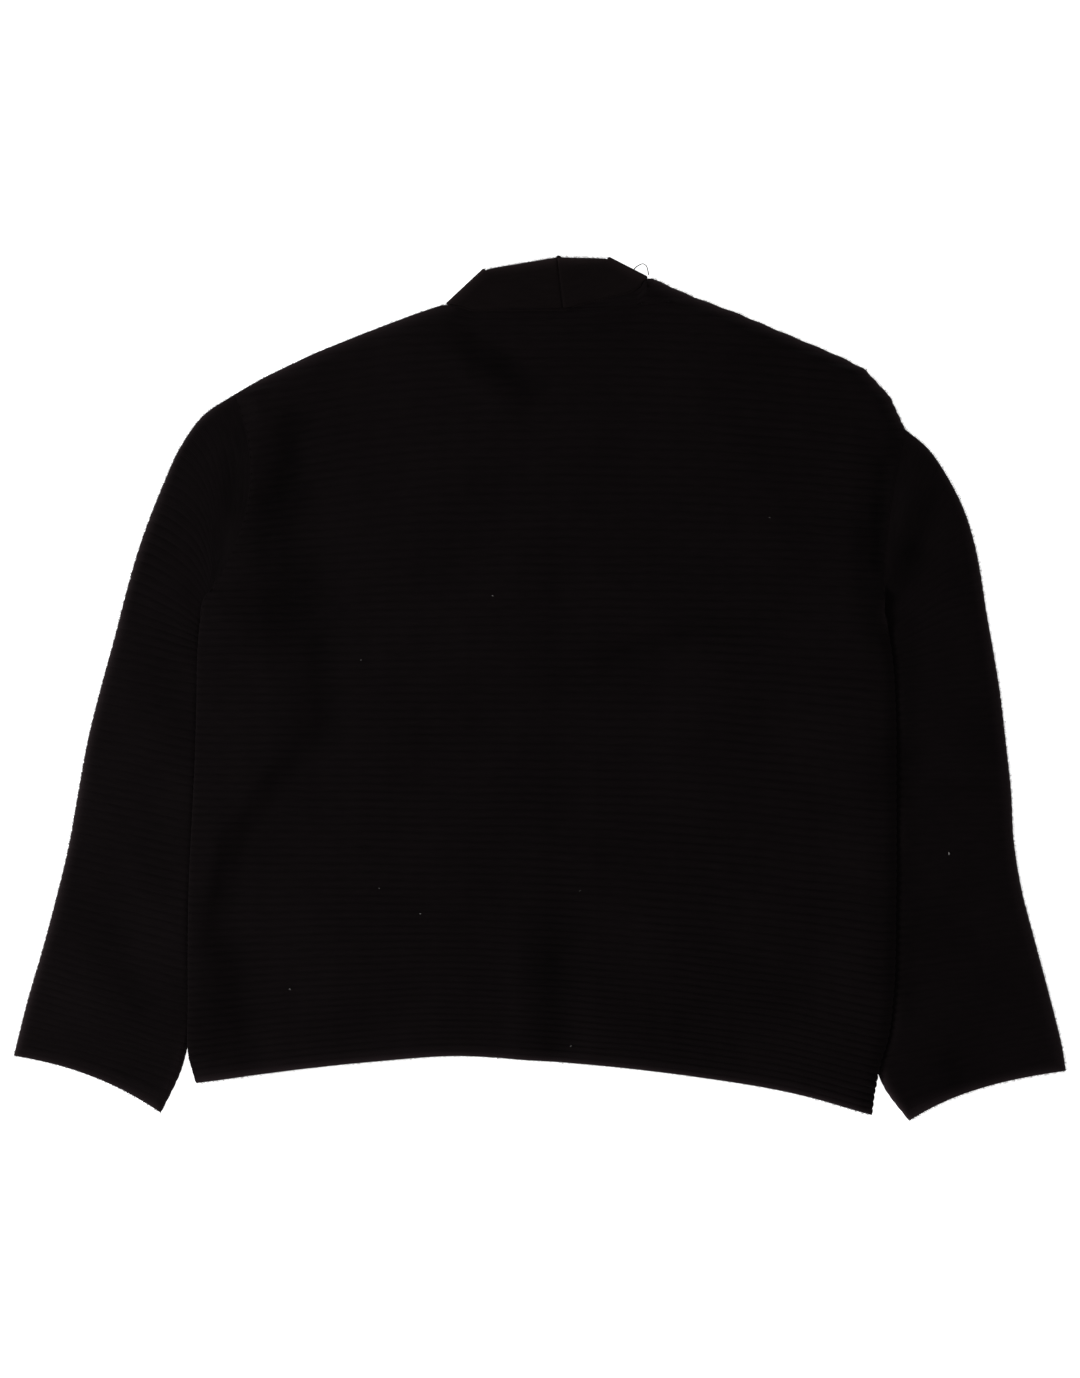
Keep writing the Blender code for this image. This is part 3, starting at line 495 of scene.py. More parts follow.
@dataclass(frozen=True)
class Cloth:
    """Sizes of the knit and of how it lies, in metres.

    The neck's dips and the lift's ramps are a row of places, x for the one and y for the other,
    and a row of the depths or widths there. The ribs at the end are the heights, from 0 in a
    valley to 1 on a ridge, that set the painted rib shade of the parts without ribs.
    """

    wall: float = 0.0022
    rib_depth: float = 0.0009
    rib_roundness: float = 0.8
    rib_steps: tuple[float, ...] = (0.0, 0.07, 0.16, 0.30, 0.5, 0.70, 0.84, 0.93)
    stitch_run: float = 0.0062
    layer_gap: float = 0.0003
    seam_gap: float = 0.0003
    air: float = 0.0026
    least_air: float = 0.0001
    air_rise: float = 0.014
    air_over_sleeve: float = 0.0012
    edge_round: float = 0.0045
    roll_round: float = 0.013
    roll_power: float = 1.7
    roll_inset: float = 0.009
    underarm_seam: float = 0.014
    hem_round: float = 0.0028
    free_lip: float = 0.0006
    sewn_lip: float = 0.0020
    side_scallop: float = 0.7
    # The painted rim light: the fine line's reach, the wide glow's strength and width, and the strength and
    # width of a paler band above the hem
    rim_line: float = 0.0015
    rim_glow: float = 0.25
    rim_width: float = 0.010
    hem_haze: tuple[float, float] = (0.06, 0.035)
    neck_dips: Table = ((0.01, 0.06), (0.0058, 0.0080))
    neck_reach: float = 0.035
    lift: float = 0.0052
    lift_ramps: Table = ((-0.27, -0.2, -0.09, 0.0, 0.05), (0.042, 0.026, 0.026, 0.050, 0.075))
    cover_margin: float = -0.003
    full_pitch: float = 0.0065
    cover_reach: float = 0.016
    cover_softness: float = 0.014
    seam_fade_rows: int = 8
    row_samples: int = 4000
    even_rib: float = 0.5
    plain_rib: float = 0.6
    band_rib: float = 0.7
    seam_rib: float = 0.8

    def rows(self, pitches: Table, start: float, end: float, group: int) -> tuple[Array, Array]:
        """Places of fine rows down a ribbed panel, several to a rib, with a valley at each end.

        Args:
            pitches: rows of place and pitch.
            start: the first row's place.
            end: the last row's place.
            group: the number of ribs is a multiple of this.

        Returns:
            The places, and how many ribs lie before each.
        """
        places = np.linspace(start, end, self.row_samples)
        table = rising(pitches)
        pitch = np.interp(places, table[:, 0], table[:, 1])
        steps = abs(np.diff(places)) * 2 / (pitch[1:] + pitch[:-1])
        passed = np.concatenate([[0.0], np.cumsum(steps)])
        whole = round(passed[-1] / group) * group
        counts = np.append((np.arange(whole)[:, None] + np.array(self.rib_steps)).ravel(), whole)
        return np.interp(counts, passed * whole / passed[-1], places), counts

    def rim(self, distance: Array) -> Array:
        """The painted rim light on an edge, for the light that wraps round it: a fine bright line on it, and
        a faint wide one.
        """
        return np.exp(-distance / self.rim_line) + self.rim_glow * (1 - ease(distance / self.rim_width))

    def rib(self, counts: Array) -> Array:
        """The ribs' profile, 0 in a valley and 1 on a ridge: round tops with narrow valleys."""
        return abs(np.sin(np.pi * counts)) ** self.rib_roundness


CLOTH = Cloth()


def placed(name: str, data: ID) -> Object:
    """A new object with the data, linked to the scene."""
    obj = bpy.data.objects.new(name, data)
    bpy.context.scene.collection.objects.link(obj)
    return obj


@dataclass
class Shell:
    """Points and faces of one closed mesh, with the UVs and the values that its material reads."""

    points: list[Array] = field(default_factory=list)
    uvs: list[Array] = field(default_factory=list)
    values: list[Array] = field(default_factory=list)
    faces: list[Array] = field(default_factory=list)
    count: int = 0

    def add(self, points: Array, uv: Array, *values: Array | float) -> Array:
        """Adds points of any grid shape.

        Args:
            points: the grid's points.
            uv: its places on the cloth, in metres.
            values: up to three, of which those left out are 0: the rib from 0 in a valley to 1 on
                a ridge, which also sets a painted shade in the valleys, the painted rim light, 1 on an edge,
                and the painted crease shade, 1 in the bottom of a fold.

        Returns:
            The points' numbers, in the grid's shape.
        """
        shape = points.shape[:-1]
        size = int(np.prod(shape))
        self.points.append(points.reshape(-1, 3))
        self.uvs.append(np.broadcast_to(uv, (*shape, 2)).reshape(-1, 2))
        three = (*values, 0.0, 0.0)[:3]
        self.values.append(np.column_stack([np.broadcast_to(value, shape).reshape(-1) for value in three]))
        numbers = np.arange(self.count, self.count + size).reshape(shape)
        self.count += size
        return numbers

    def quads(self, numbers: Array) -> None:
        """Adds a quad between each four neighbours of a grid of point numbers."""
        near, far = numbers[:-1], numbers[1:]
        corners = (near[:, :-1], near[:, 1:], far[:, 1:], far[:, :-1])
        self.faces.append(np.stack(corners, axis=-1).reshape(-1, 4))

    def rings(self, numbers: Array) -> None:
        """Adds quads between neighbouring rings, each of which closes on itself."""
        self.quads(np.column_stack([numbers, numbers[:, :1]]))

    def fan_wall(self, fine: Array, coarse: Array) -> None:
        """Adds triangles between two edges.

        Args:
            fine: the numbers of the one edge's points.
            coarse: those of the other's, which are fewer and lie evenly among them.
        """
        step = (len(fine) - 1) // (len(coarse) - 1)
        hub = np.repeat(coarse[:-1], step)
        self.faces.append(np.column_stack([fine[:-1], fine[1:], hub]))
        self.faces.append(np.column_stack([fine[step::step], coarse[1:], coarse[:-1]]))

    def closed_tube(self, points: Array, uv: Array, *values: Array | float) -> None:
        """Adds a tube and closes both of its ends.

        Args:
            points: its points, a ring to a row.
            uv: their places on the cloth.
            values: the rib and the painted rim light, as above.
        """
        numbers = self.add(points, uv, *values)
        self.rings(numbers)
        for row in (0, -1):
            self.cap(numbers[row], uv[row].mean(axis=0))

    def cap(self, ring: Array, uv: Array) -> None:
        """Closes a ring with triangles round its middle.

        Args:
            ring: the numbers of its points.
            uv: the middle's place on the cloth.
        """
        middle = np.concatenate(self.points)[ring].mean(axis=0)
        hub = self.add(middle[None], uv, 1.0)
        after = np.roll(ring, -1)
        self.faces.append(np.column_stack([ring, after, np.full(len(ring), hub[0])]))

    def made(self, name: str, material: Material) -> Object:
        """Makes the mesh object, its faces turned outwards and shaded smoothly.

        Args:
            name: the object's name.
            material: its finish.

        Returns:
            The object, in the scene.
        """
        mesh = bpy.data.meshes.new(name)
        points = np.concatenate(self.points) + np.array(TABLES_TO_GARMENT)
        faces = [face for block in self.faces for face in block.tolist()]
        mesh.from_pydata(points.tolist(), [], faces)
        work = bmesh.new()
        work.from_mesh(mesh)
        bmesh.ops.recalc_face_normals(work, faces=work.faces)
        work.to_mesh(mesh)
        work.free()
        corners = np.empty(len(mesh.loops), np.int32)
        mesh.loops.foreach_get("vertex_index", corners)
        layer = mesh.uv_layers.new(name="cloth")
        layer.data.foreach_set("uv", np.concatenate(self.uvs)[corners].ravel())
        values = np.concatenate(self.values)
        # The values that paint light and shade into the yarn's colour: the rib's painted valley shade, the
        # painted rim light and the painted crease shade
        for column, title in enumerate(("rib", "rim", "crease")):
            attribute = mesh.attributes.new(title, "FLOAT", "POINT")
            attribute.data.foreach_set("value", values[:, column].astype(np.float32))
        mesh.polygons.foreach_set("use_smooth", np.ones(len(mesh.polygons), bool))
        mesh.materials.append(material)
        mesh.update()
        return placed(name, mesh)


class Piece:
    """A piece of the garment, which each kind of piece makes from a shell of its own."""

    name: str

    def shell(self) -> Shell:
        """The piece's closed mesh."""
        raise NotImplementedError

    def build(self, material: Material) -> Object:
        """Makes the piece's object and dresses it.

        Args:
            material: its finish.

        Returns:
            The object, in the scene.
        """
        return self.shell().made(self.name, material)


def spokes(forward: Array, sides: int) -> Array:
    """Unit vectors all round a direction and square to it.

    Args:
        forward: unit directions, of any shape.
        sides: how many vectors go round each.

    Returns:
        The vectors, with an axis for the sides before the last one.
    """
    level = unit(np.cross(forward, UP))
    upright = np.cross(level, forward)
    turn = np.linspace(0.0, 2 * np.pi, sides, endpoint=False)[:, None]
    return level[..., None, :] * np.cos(turn) + upright[..., None, :] * np.sin(turn)


def tube(path: Array, radii: Array, sides: int) -> Array:
    """A tube's points: a circle of the radius round each point, square to a path that lies flat.

    Args:
        path: the middle line.
        radii: a radius for each of its points.
        sides: how many points go round.

    Returns:
        A grid of points, a ring for each point of the path.
    """
    forward = unit(np.gradient(path, axis=0))
    return path[:, None] + radii[:, None, None] * spokes(forward, sides)


@dataclass
class SleevePlan:
    """The lines across one sleeve, seen from above, from its armhole to its cuff.

    The seam's two rises are at the underarm and in the middle of the armhole. The ramp is how many
    times wider than in the cloth's table the body slopes down from this sleeve's inner fold.
    """

    side: Side
    stations: Table
    side_table: Table
    seam_rises: tuple[float, float]
    ramp: float = 1.0
    rib_group: int = 4
    armhole_points: int = 41
    fold_points: int = 800
    side_points: int = 200

    def __post_init__(self) -> None:
        """Works out the fine lines, the inner fold and the body's side."""
        table = np.array(self.stations)
        self.shoulder: float = self.stations[0][1]
        self.underarm: float = self.stations[0][5]
        along = along_path(table[:, :2])
        curve = np.column_stack([along, table])
        rows, counts = CLOTH.rows(SLEEVE_PITCH, 0.0, along[-1], self.rib_group)
        self.distances: Array = rows
        self.counts: Array = counts
        self.lines: Array = through(curve, rows)
        self.inner_fold: Array = through(curve, np.linspace(0.0, along[-1], self.fold_points))[:, 4:6]
        armhole = self.bowed(self.lines[:1], np.linspace(0, 1, self.armhole_points))[0]
        below = rising(self.side_table)
        ys = np.linspace(below[0, 0], below[-1, 0], self.side_points)
        lower = np.column_stack([through(below, ys)[:, 0], ys])
        self.body_side: Array = np.vstack([lower, armhole[::-1][1:]])

    @staticmethod
    def bowed(lines: Array, shares: Array) -> Array:
        """Points along bowed lines: (1-t)^2 outer + 2t(1-t) bow + t^2 inner at each share t."""
        t = np.broadcast_to(shares, (len(lines), np.shape(shares)[-1]))[..., None]
        outer, bow, inner = lines[:, None, 0:2], lines[:, None, 2:4], lines[:, None, 4:6]
        return outer * (1 - t) ** 2 + bow * 2 * t * (1 - t) + inner * t**2

    def seam_rise(self, y: Array) -> Array:
        """How far the armhole's seam stands up at each y, as a share of the air below the body.

        Over the share of the way up from the underarm it eases from the first rise to the second
        within a third, and to nothing at the shoulder within the last quarter.

        Args:
            y: the places, of any shape.

        Returns:
            The shares.
        """
        share = np.clip((y - self.underarm) / (self.shoulder - self.underarm), 0.0, 1.0)
        lowest, most = self.seam_rises
        return (lowest + (most - lowest) * ease(share * 3)) * ease((1 - share) * 4)

    def cover(self) -> Array:
        """How far in from the body's side the sleeve reaches below it.

        Returns:
            Rows of y, the reach, and how far the body is raised there, from 0 to 1.
        """
        side = self.body_side
        inwards = -self.side.value
        near = abs(self.inner_fold[None, :, 1] - side[:, None, 1]) < CLOTH.cover_reach
        inside = (self.inner_fold[None, :, 0] - side[:, None, 0]) * inwards
        reach = np.where(near, inside, 0.0).max(axis=1)
        covered = np.where(reach > 0, np.maximum(reach + CLOTH.cover_margin, 0.0), 0.0)
        raised = (reach > 0).astype(float)
        soft = [
            np.maximum(values, softened(values, side[:, 1], CLOTH.cover_softness))
            for values in (covered, raised)
        ]
        return np.column_stack([side[:, 1], *soft])


@dataclass(frozen=True)
class RowEnds:
    """Where the body's rows end at one side, and how they meet the outline there."""

    points: Array
    tangent: Array
    sine: Array

    def outwards(self, side: Side) -> Array:
        """The unit vectors square to the outline that point out of the body."""
        square = np.column_stack([self.tangent[:, 1], -self.tangent[:, 0]])
        return square * (np.sign(square[:, :1]) * side.value)


@dataclass
class BodyPlan:
    """The outline, the ribs and the heights that the back and the fronts share."""

    left: SleevePlan
    right: SleevePlan
    rib_group: int = 3
    reach: float = 0.31
    scan_points: int = 621
    bisections: int = 16
    probe: float = 0.001
    edge_steps: tuple[float, ...] = (0.0, 0.0002, 0.0007, 0.0015, 0.0028, 0.0045)
    full_row: float = 0.14
    least_angle: float = 0.3

    def __post_init__(self) -> None:
        """Works out the fine rows and where each meets the outline."""
        heights, counts = CLOTH.rows(BACK_PITCH, TOP_ROW_HEIGHT, HEM_ROW_HEIGHT, self.rib_group)
        self.heights: Array = heights
        self.counts: Array = counts
        self.covers: dict[Side, Array] = {plan.side: plan.cover() for plan in (self.left, self.right)}

    @staticmethod
    def fall(xs: Array, heights: Array) -> Array:
        """How far the rib at each height lies below it at each x of its row."""
        falls = through(rising(RIB_FALLS), heights)
        weights = through(np.column_stack([RIB_FALL_X, np.eye(len(RIB_FALL_X))]), xs)
        return np.einsum("rck,rk->rc", weights, falls)

    def row_y(self, xs: Array, heights: Array) -> Array:
        """The y of the row at each height, at each x of that row."""
        return heights[:, None] - self.fall(xs, heights)

    def inside(self, xs: Array, heights: Array) -> Array:
        """Whether each point of each row is within the outline.

        Args:
            xs: the points' x, a row for each height.
            heights: the rows' heights.

        Returns:
            True or false for each point.
        """
        y = self.row_y(xs, heights)
        left, right = self.left.body_side, self.right.body_side
        above = y > neck_line_y(xs)
        past_left = xs < np.interp(y, left[:, 1], left[:, 0])
        past_right = xs > np.interp(y, right[:, 1], right[:, 0])
        return ~(above | past_left | past_right)

    def row_end(self, side: Side, heights: Array) -> Array:
        """Where each row first leaves the outline on its way out to a side.

        Args:
            side: the side to go to.
            heights: the rows' heights.

        Returns:
            The x of each row's end.
        """
        scan = np.linspace(NECK_RIGHT, side.value * self.reach, self.scan_points)
        outside = ~self.inside(np.tile(scan, (len(heights), 1)), heights)
        first = np.maximum(np.argmax(outside, axis=1), 1)
        out_x, in_x = scan[first], scan[first - 1]
        for _ in range(self.bisections):
            middle = (out_x + in_x) / 2
            within = self.inside(middle[:, None], heights)[:, 0]
            in_x = np.where(within, middle, in_x)
            out_x = np.where(within, out_x, middle)
        return in_x

    def row_ends(self, side: Side, heights: Array) -> RowEnds:
        """Each row's end, the outline's direction there, and the row's own angle to it.

        Args:
            side: the side to go to.
            heights: the rows' heights.

        Returns:
            The ends, the unit tangents of the outline, and the sine of the angle between.
        """
        x = self.row_end(side, heights)
        small = self.probe * side.value
        y = self.row_y(x[:, None], heights)[:, 0]
        behind = self.row_y(x[:, None] - small, heights)[:, 0]
        ends = np.column_stack([x, y])
        tangent = unit(np.gradient(ends, axis=0))
        row = unit(np.column_stack([np.full(len(x), small), y - behind]))
        sine = abs(row[:, 0] * tangent[:, 1] - row[:, 1] * tangent[:, 0])
        return RowEnds(ends, tangent, sine)

    def lift(self, x: Array, y: Array) -> Array:
        """How far the sleeves' inner edges raise the body.

        Args:
            x, y: the points' places.

        Returns:
            The rise at each point.
        """
        total = np.zeros(np.shape(x))
        for plan in (self.left, self.right):
            cover = self.covers[plan.side]
            covered = np.interp(y, cover[:, 0], cover[:, 1])
            raised = np.interp(y, cover[:, 0], cover[:, 2])
            edge = np.interp(y, plan.body_side[:, 1], plan.body_side[:, 0])
            from_side = (edge - x) * plan.side.value
            past = (from_side - covered) / (plan.ramp * np.interp(y, *CLOTH.lift_ramps))
            total = total + CLOTH.lift * raised * (1 - ease(past))
        return total


def sewn_share(ends: Array, plan: SleevePlan) -> Array:
    """How far each row of the body ends in a seam: 1 at the armhole and the neck, 0 elsewhere.

    Args:
        ends: the rows' ends.
        plan: the plan of the sleeve on that side.

    Returns:
        The shares, softened over a few rows.
    """
    x, y = ends[:, 0], ends[:, 1]
    at_neck = (x > NECK_LEFT) & (x < NECK_RIGHT)
    at_armhole = (y > plan.underarm - CLOTH.underarm_seam) & (y < plan.shoulder)
    sewn = (at_neck | at_armhole).astype(float)
    fade = CLOTH.seam_fade_rows
    window = np.ones(2 * fade + 1) / (2 * fade + 1)
    return np.convolve(np.pad(sewn, fade, mode="edge"), window, mode="valid")


def distance_to(x: Array, y: Array, path: Array) -> Array:
    """The distance from each point to the nearest place on a path of straight pieces.

    Args:
        x, y: the points' places.
        path: rows of x and y.

    Returns:
        The distances, in the shape of x.
    """
    start, run = path[:-1], np.diff(path, axis=0)
    from_start = np.stack([x, y], axis=-1)[..., None, :] - start
    square = np.maximum((run * run).sum(-1), TINY)
    share = np.clip((from_start * run).sum(-1) / square, 0.0, 1.0)
    return np.linalg.norm(from_start - share[..., None] * run, axis=-1).min(axis=-1)


def neck_line_y(x: Array) -> Array:
    """The y of the shoulder and neck line, before it dips, at each x."""
    line = np.array(SHOULDER_AND_NECK)
    return np.interp(x, line[:, 0], line[:, 1])


@dataclass
class BackPanel(Piece):
    """The back: ribs raised across its face over a plain inside, and soft creases.

    A pair of sizes is for the left and the right, apart from the ribs' growth, which is at the hem
    and at the top. The edges' rims are how strong the painted rim light is at the left shoulder, the
    right one and the hem.
    """

    plan: BodyPlan
    name: str = "back_knit"
    interior_columns: int = 94
    side_density: float = 0.06
    waves: Undulation = Undulation(seed=7, height=0.00028, shortest=0.055, longest=0.15)
    wander: Undulation = Undulation(seed=19, height=0.00022, shortest=0.03, longest=0.09)
    strength: Undulation = Undulation(seed=31, height=0.16, shortest=0.05, longest=0.16)
    wave_fade: float = 0.02
    # The trough depth at which the painted crease shade is full
    full_crease_shade: float = 0.0026
    roll_drops: tuple[float, float] = (0.0003, 0.0023)
    side_firmness: tuple[float, float] = (0.9, 0.35)
    side_opens: tuple[float, float] = (0.65, 0.0)
    side_fade: float = 0.02
    rib_growth: tuple[float, float] = (1.3, 0.75)
    # Strength of the painted rim light along the sides below the arm
    side_rims: tuple[float, float] = (0.0, 0.2)
    edge_rims: tuple[float, float, float] = (1.3, 1.9, 1.4)
    neck_zone: float = 0.26
    neck_zone_reach: float = 0.03
    neck_fade: float = 0.008
    dip_fade: float = 0.022
    dip_power: float = 1.5

    def __post_init__(self) -> None:
        """Works out the face, the inside, and the values that the material reads."""
        plan, rows = self.plan, self.plan.heights
        self.ends: tuple[RowEnds, ...] = tuple(plan.row_ends(side, rows) for side in Side)
        xs = self.columns()
        ys = plan.row_y(xs, rows)
        from_left, from_right = self.from_sides(xs, ys)
        self.nearest: Array = np.minimum(from_left, from_right)
        self.on_left: Array = from_left < from_right
        self.from_hem: Array = np.broadcast_to((rows - rows[-1])[:, None], xs.shape)
        self.inner: Array = ease(self.nearest / self.wave_fade)
        ys = ys + self.wander.at(xs, ys) * self.inner * ease(self.from_hem / self.wave_fade)
        self.sewn: Array = self.sewn_at(xs)
        self.at_side: Array = ease((plan.left.underarm - ys) / self.side_fade)

        self.underside: Array = self.underside_at(xs, ys)
        # Painted shade, darkest in the bottoms of the troughs
        self.crease: Array = np.clip(bells(xs, ys, BACK_TROUGHS).sum(axis=-1) / self.full_crease_shade, 0.0, 1.0)
        firm = np.maximum(self.sewn, self.at_side * np.where(self.on_left, *self.side_firmness))
        lip = CLOTH.free_lip + (CLOTH.sewn_lip - CLOTH.free_lip) * firm
        full = rounding(self.nearest, CLOTH.edge_round) * rounding(self.from_hem, CLOTH.hem_round)
        face = self.underside + lip + (CLOTH.wall - lip) * full

        rib = CLOTH.rib(plan.counts)[:, None]
        growth = np.interp(rows, (HEM_ROW_HEIGHT, TOP_ROW_HEIGHT), self.rib_growth)[:, None]
        depth = CLOTH.rib_depth * growth * (rib - 0.5) * (1 + self.strength.at(xs, ys) * self.inner)
        sideways = 1.0 - np.clip(self.nearest / CLOTH.edge_round, 0.0, 1.0)
        shift = depth * sideways * (1 - self.sewn) * CLOTH.side_scallop
        for side, ends, mine in zip(Side, self.ends, (self.on_left, ~self.on_left)):
            outwards = ends.outwards(side)
            xs = xs + np.where(mine, shift * outwards[:, :1], 0.0)
            ys = ys + np.where(mine, shift * outwards[:, 1:], 0.0)
        ys = self.dipped(xs, ys)
        self.face: Array = np.dstack([xs, ys, face + depth * full])
        # The rib's value, which sets a painted shade in the valleys on top of the real relief
        self.rib: Array = np.broadcast_to(0.5 + (rib - 0.5) * growth, xs.shape)
        # A painted rim light at the free edges, and a paler band above the hem
        self.rim: Array = self.rim_light_at(ys)

    def columns(self) -> Array:
        """The x of each row's points, which lie close together at its ends.

        Returns:
            A row of x for each row of the face.
        """
        plan = self.plan
        left, right = self.ends
        steps = np.array(plan.edge_steps)
        fit = np.minimum(1.0, (right.points[:, 0] - left.points[:, 0]) / plan.full_row)[:, None]
        left_steps = fit * steps / np.maximum(left.sine, plan.least_angle)[:, None]
        right_steps = fit * steps / np.maximum(right.sine, plan.least_angle)[:, None]
        even = inner_shares(self.interior_columns)
        shares = even - self.side_density * np.sin(2 * np.pi * even)
        from_left = left.points[:, :1] + left_steps
        from_right = right.points[:, :1] - right_steps[:, ::-1]
        width = from_right[:, :1] - from_left[:, -1:]
        return np.concatenate([from_left, from_left[:, -1:] + width * shares, from_right], axis=1)

    def from_sides(self, xs: Array, ys: Array) -> list[Array]:
        """Each point's distance from the left edge's tangent and the right edge's.

        Near the neck the left distance is from the edge itself, which bends there.

        Args:
            xs, ys: the points' places.

        Returns:
            The two distances.
        """
        away = []
        for ends in self.ends:
            gap = np.stack([xs - ends.points[:, :1], ys - ends.points[:, 1:]], axis=-1)
            away.append(abs(gap[..., 0] * ends.tangent[:, 1:] - gap[..., 1] * ends.tangent[:, :1]))
        rows = self.plan.heights
        near_neck = rows > self.neck_zone
        top_ends = self.ends[0].points[rows > self.neck_zone - self.neck_zone_reach]
        away[0][near_neck] = distance_to(xs[near_neck], ys[near_neck], top_ends)
        return away

    def sewn_at(self, xs: Array) -> Array:
        """How far a seam holds each point: 1 in the rows of an armhole and below the neck seam.

        Args:
            xs: the points' x.

        Returns:
            The shares.
        """
        left, right = self.ends
        by_side = np.where(
            self.on_left,
            sewn_share(left.points, self.plan.left)[:, None],
            sewn_share(right.points, self.plan.right)[:, None],
        )
        by_neck = between(xs, NECK_LEFT, NECK_RIGHT, self.neck_fade, self.neck_fade)
        return np.maximum(by_side, by_neck * (self.plan.heights > self.neck_zone)[:, None])

    def underside_at(self, xs: Array, ys: Array) -> Array:
        """The height of the inside: on the fronts, with soft air between that the troughs press out.

        The air closes towards the edges, save where a seam holds them up, and a free edge rolls down.

        Args:
            xs, ys: the points' places.

        Returns:
            The heights.
        """
        plan = self.plan
        left, right = self.ends
        rises = plan.left.seam_rise(left.points[:, 1:]), plan.right.seam_rise(right.points[:, 1:])
        raised = np.where(self.on_left, *rises)
        raised = np.maximum(raised, self.at_side * np.where(self.on_left, *self.side_opens))
        open_up = 1 - (1 - ease(self.nearest / CLOTH.air_rise)) * (1 - raised)
        lift = plan.lift(xs, ys)
        trough = bells(xs, ys, BACK_TROUGHS).max(axis=-1)
        loose = (CLOTH.air - trough) * open_up
        air = loose + (np.minimum(loose, CLOTH.air_over_sleeve) - loose) * (lift / CLOTH.lift)
        ridge = bells(xs, ys, BACK_RIDGES).sum(axis=-1) + self.waves.at(xs, ys)
        above_front = np.maximum(CLOTH.least_air, air + ridge * self.inner)
        roll = (1 - self.sewn) * (1 - np.clip(self.nearest / CLOTH.roll_round, 0.0, 1.0)) ** CLOTH.roll_power
        drop = np.where(self.on_left, *self.roll_drops)
        return np.maximum(lift + CLOTH.wall + CLOTH.layer_gap + above_front - drop * roll, 0.0)

    def dipped(self, xs: Array, ys: Array) -> Array:
        """Lets the neck line down between its corners, fading below it.

        Args:
            xs, ys: the points' places.

        Returns:
            The new y.
        """
        below_neck = np.clip((neck_line_y(xs) - ys) / CLOTH.neck_reach, 0.0, 1.0)
        at_neck = between(xs, NECK_LEFT, NECK_RIGHT, self.dip_fade, self.neck_fade)
        dip = at_neck * (1 - below_neck) ** self.dip_power
        return ys - np.interp(xs, *CLOTH.neck_dips) * dip

    def rim_light_at(self, ys: Array) -> Array:
        """How much each point is lightened: a painted rim light at the free edges, and a paler band above
        the hem.

        Args:
            ys: the points' y.

        Returns:
            The values, 1 on a plain edge.
        """
        below_arm = ys < self.plan.left.underarm
        left_rim, right_rim, hem_rim = self.edge_rims
        at_shoulder = np.where(self.on_left, left_rim, right_rim) * (1 - self.sewn)
        beside = np.where(below_arm, np.where(self.on_left, *self.side_rims), at_shoulder)
        haze, haze_width = CLOTH.hem_haze
        at_hem = CLOTH.rim(self.from_hem) * hem_rim + haze * (1 - ease(self.from_hem / haze_width))
        return CLOTH.rim(self.nearest) * beside + at_hem

    def neck_line(self) -> Array:
        """The back's own edge along the neck.

        Returns:
            Its points from left to right, as x and y.
        """
        left_end = self.face[:, 0, :2]
        corner = int(np.argmax(left_end[:, 0] < NECK_LEFT))
        row = self.face[corner]
        last = left_end[corner - 1, 0]
        along_row = row[(row[:, 0] > NECK_LEFT) & (row[:, 0] < last), :2]
        return np.vstack([along_row, left_end[corner - 1 :: -1], self.face[0, -1:, :2]])

    def shell(self) -> Shell:
        """The ribbed face and the plain inside, which has a row for each rib.

        Returns:
            The shell.
        """
        shell = Shell()
        step = len(CLOTH.rib_steps)
        xs, ys = self.face[..., 0], self.face[..., 1]
        down = np.broadcast_to(self.plan.counts[:, None] * CLOTH.stitch_run, xs.shape)
        uv = np.stack([xs, down], axis=-1)
        top = shell.add(self.face, uv, self.rib, self.rim, self.crease)
        plain = np.dstack([xs, ys, self.underside])[::step]
        below = shell.add(plain, uv[::step], CLOTH.plain_rib)
        shell.quads(top)
        shell.quads(below)
        for column in (0, -1):
            shell.fan_wall(top[:, column], below[:, column])
        for row in (0, -1):
            shell.quads(np.stack([top[row], below[row]]))
        return shell


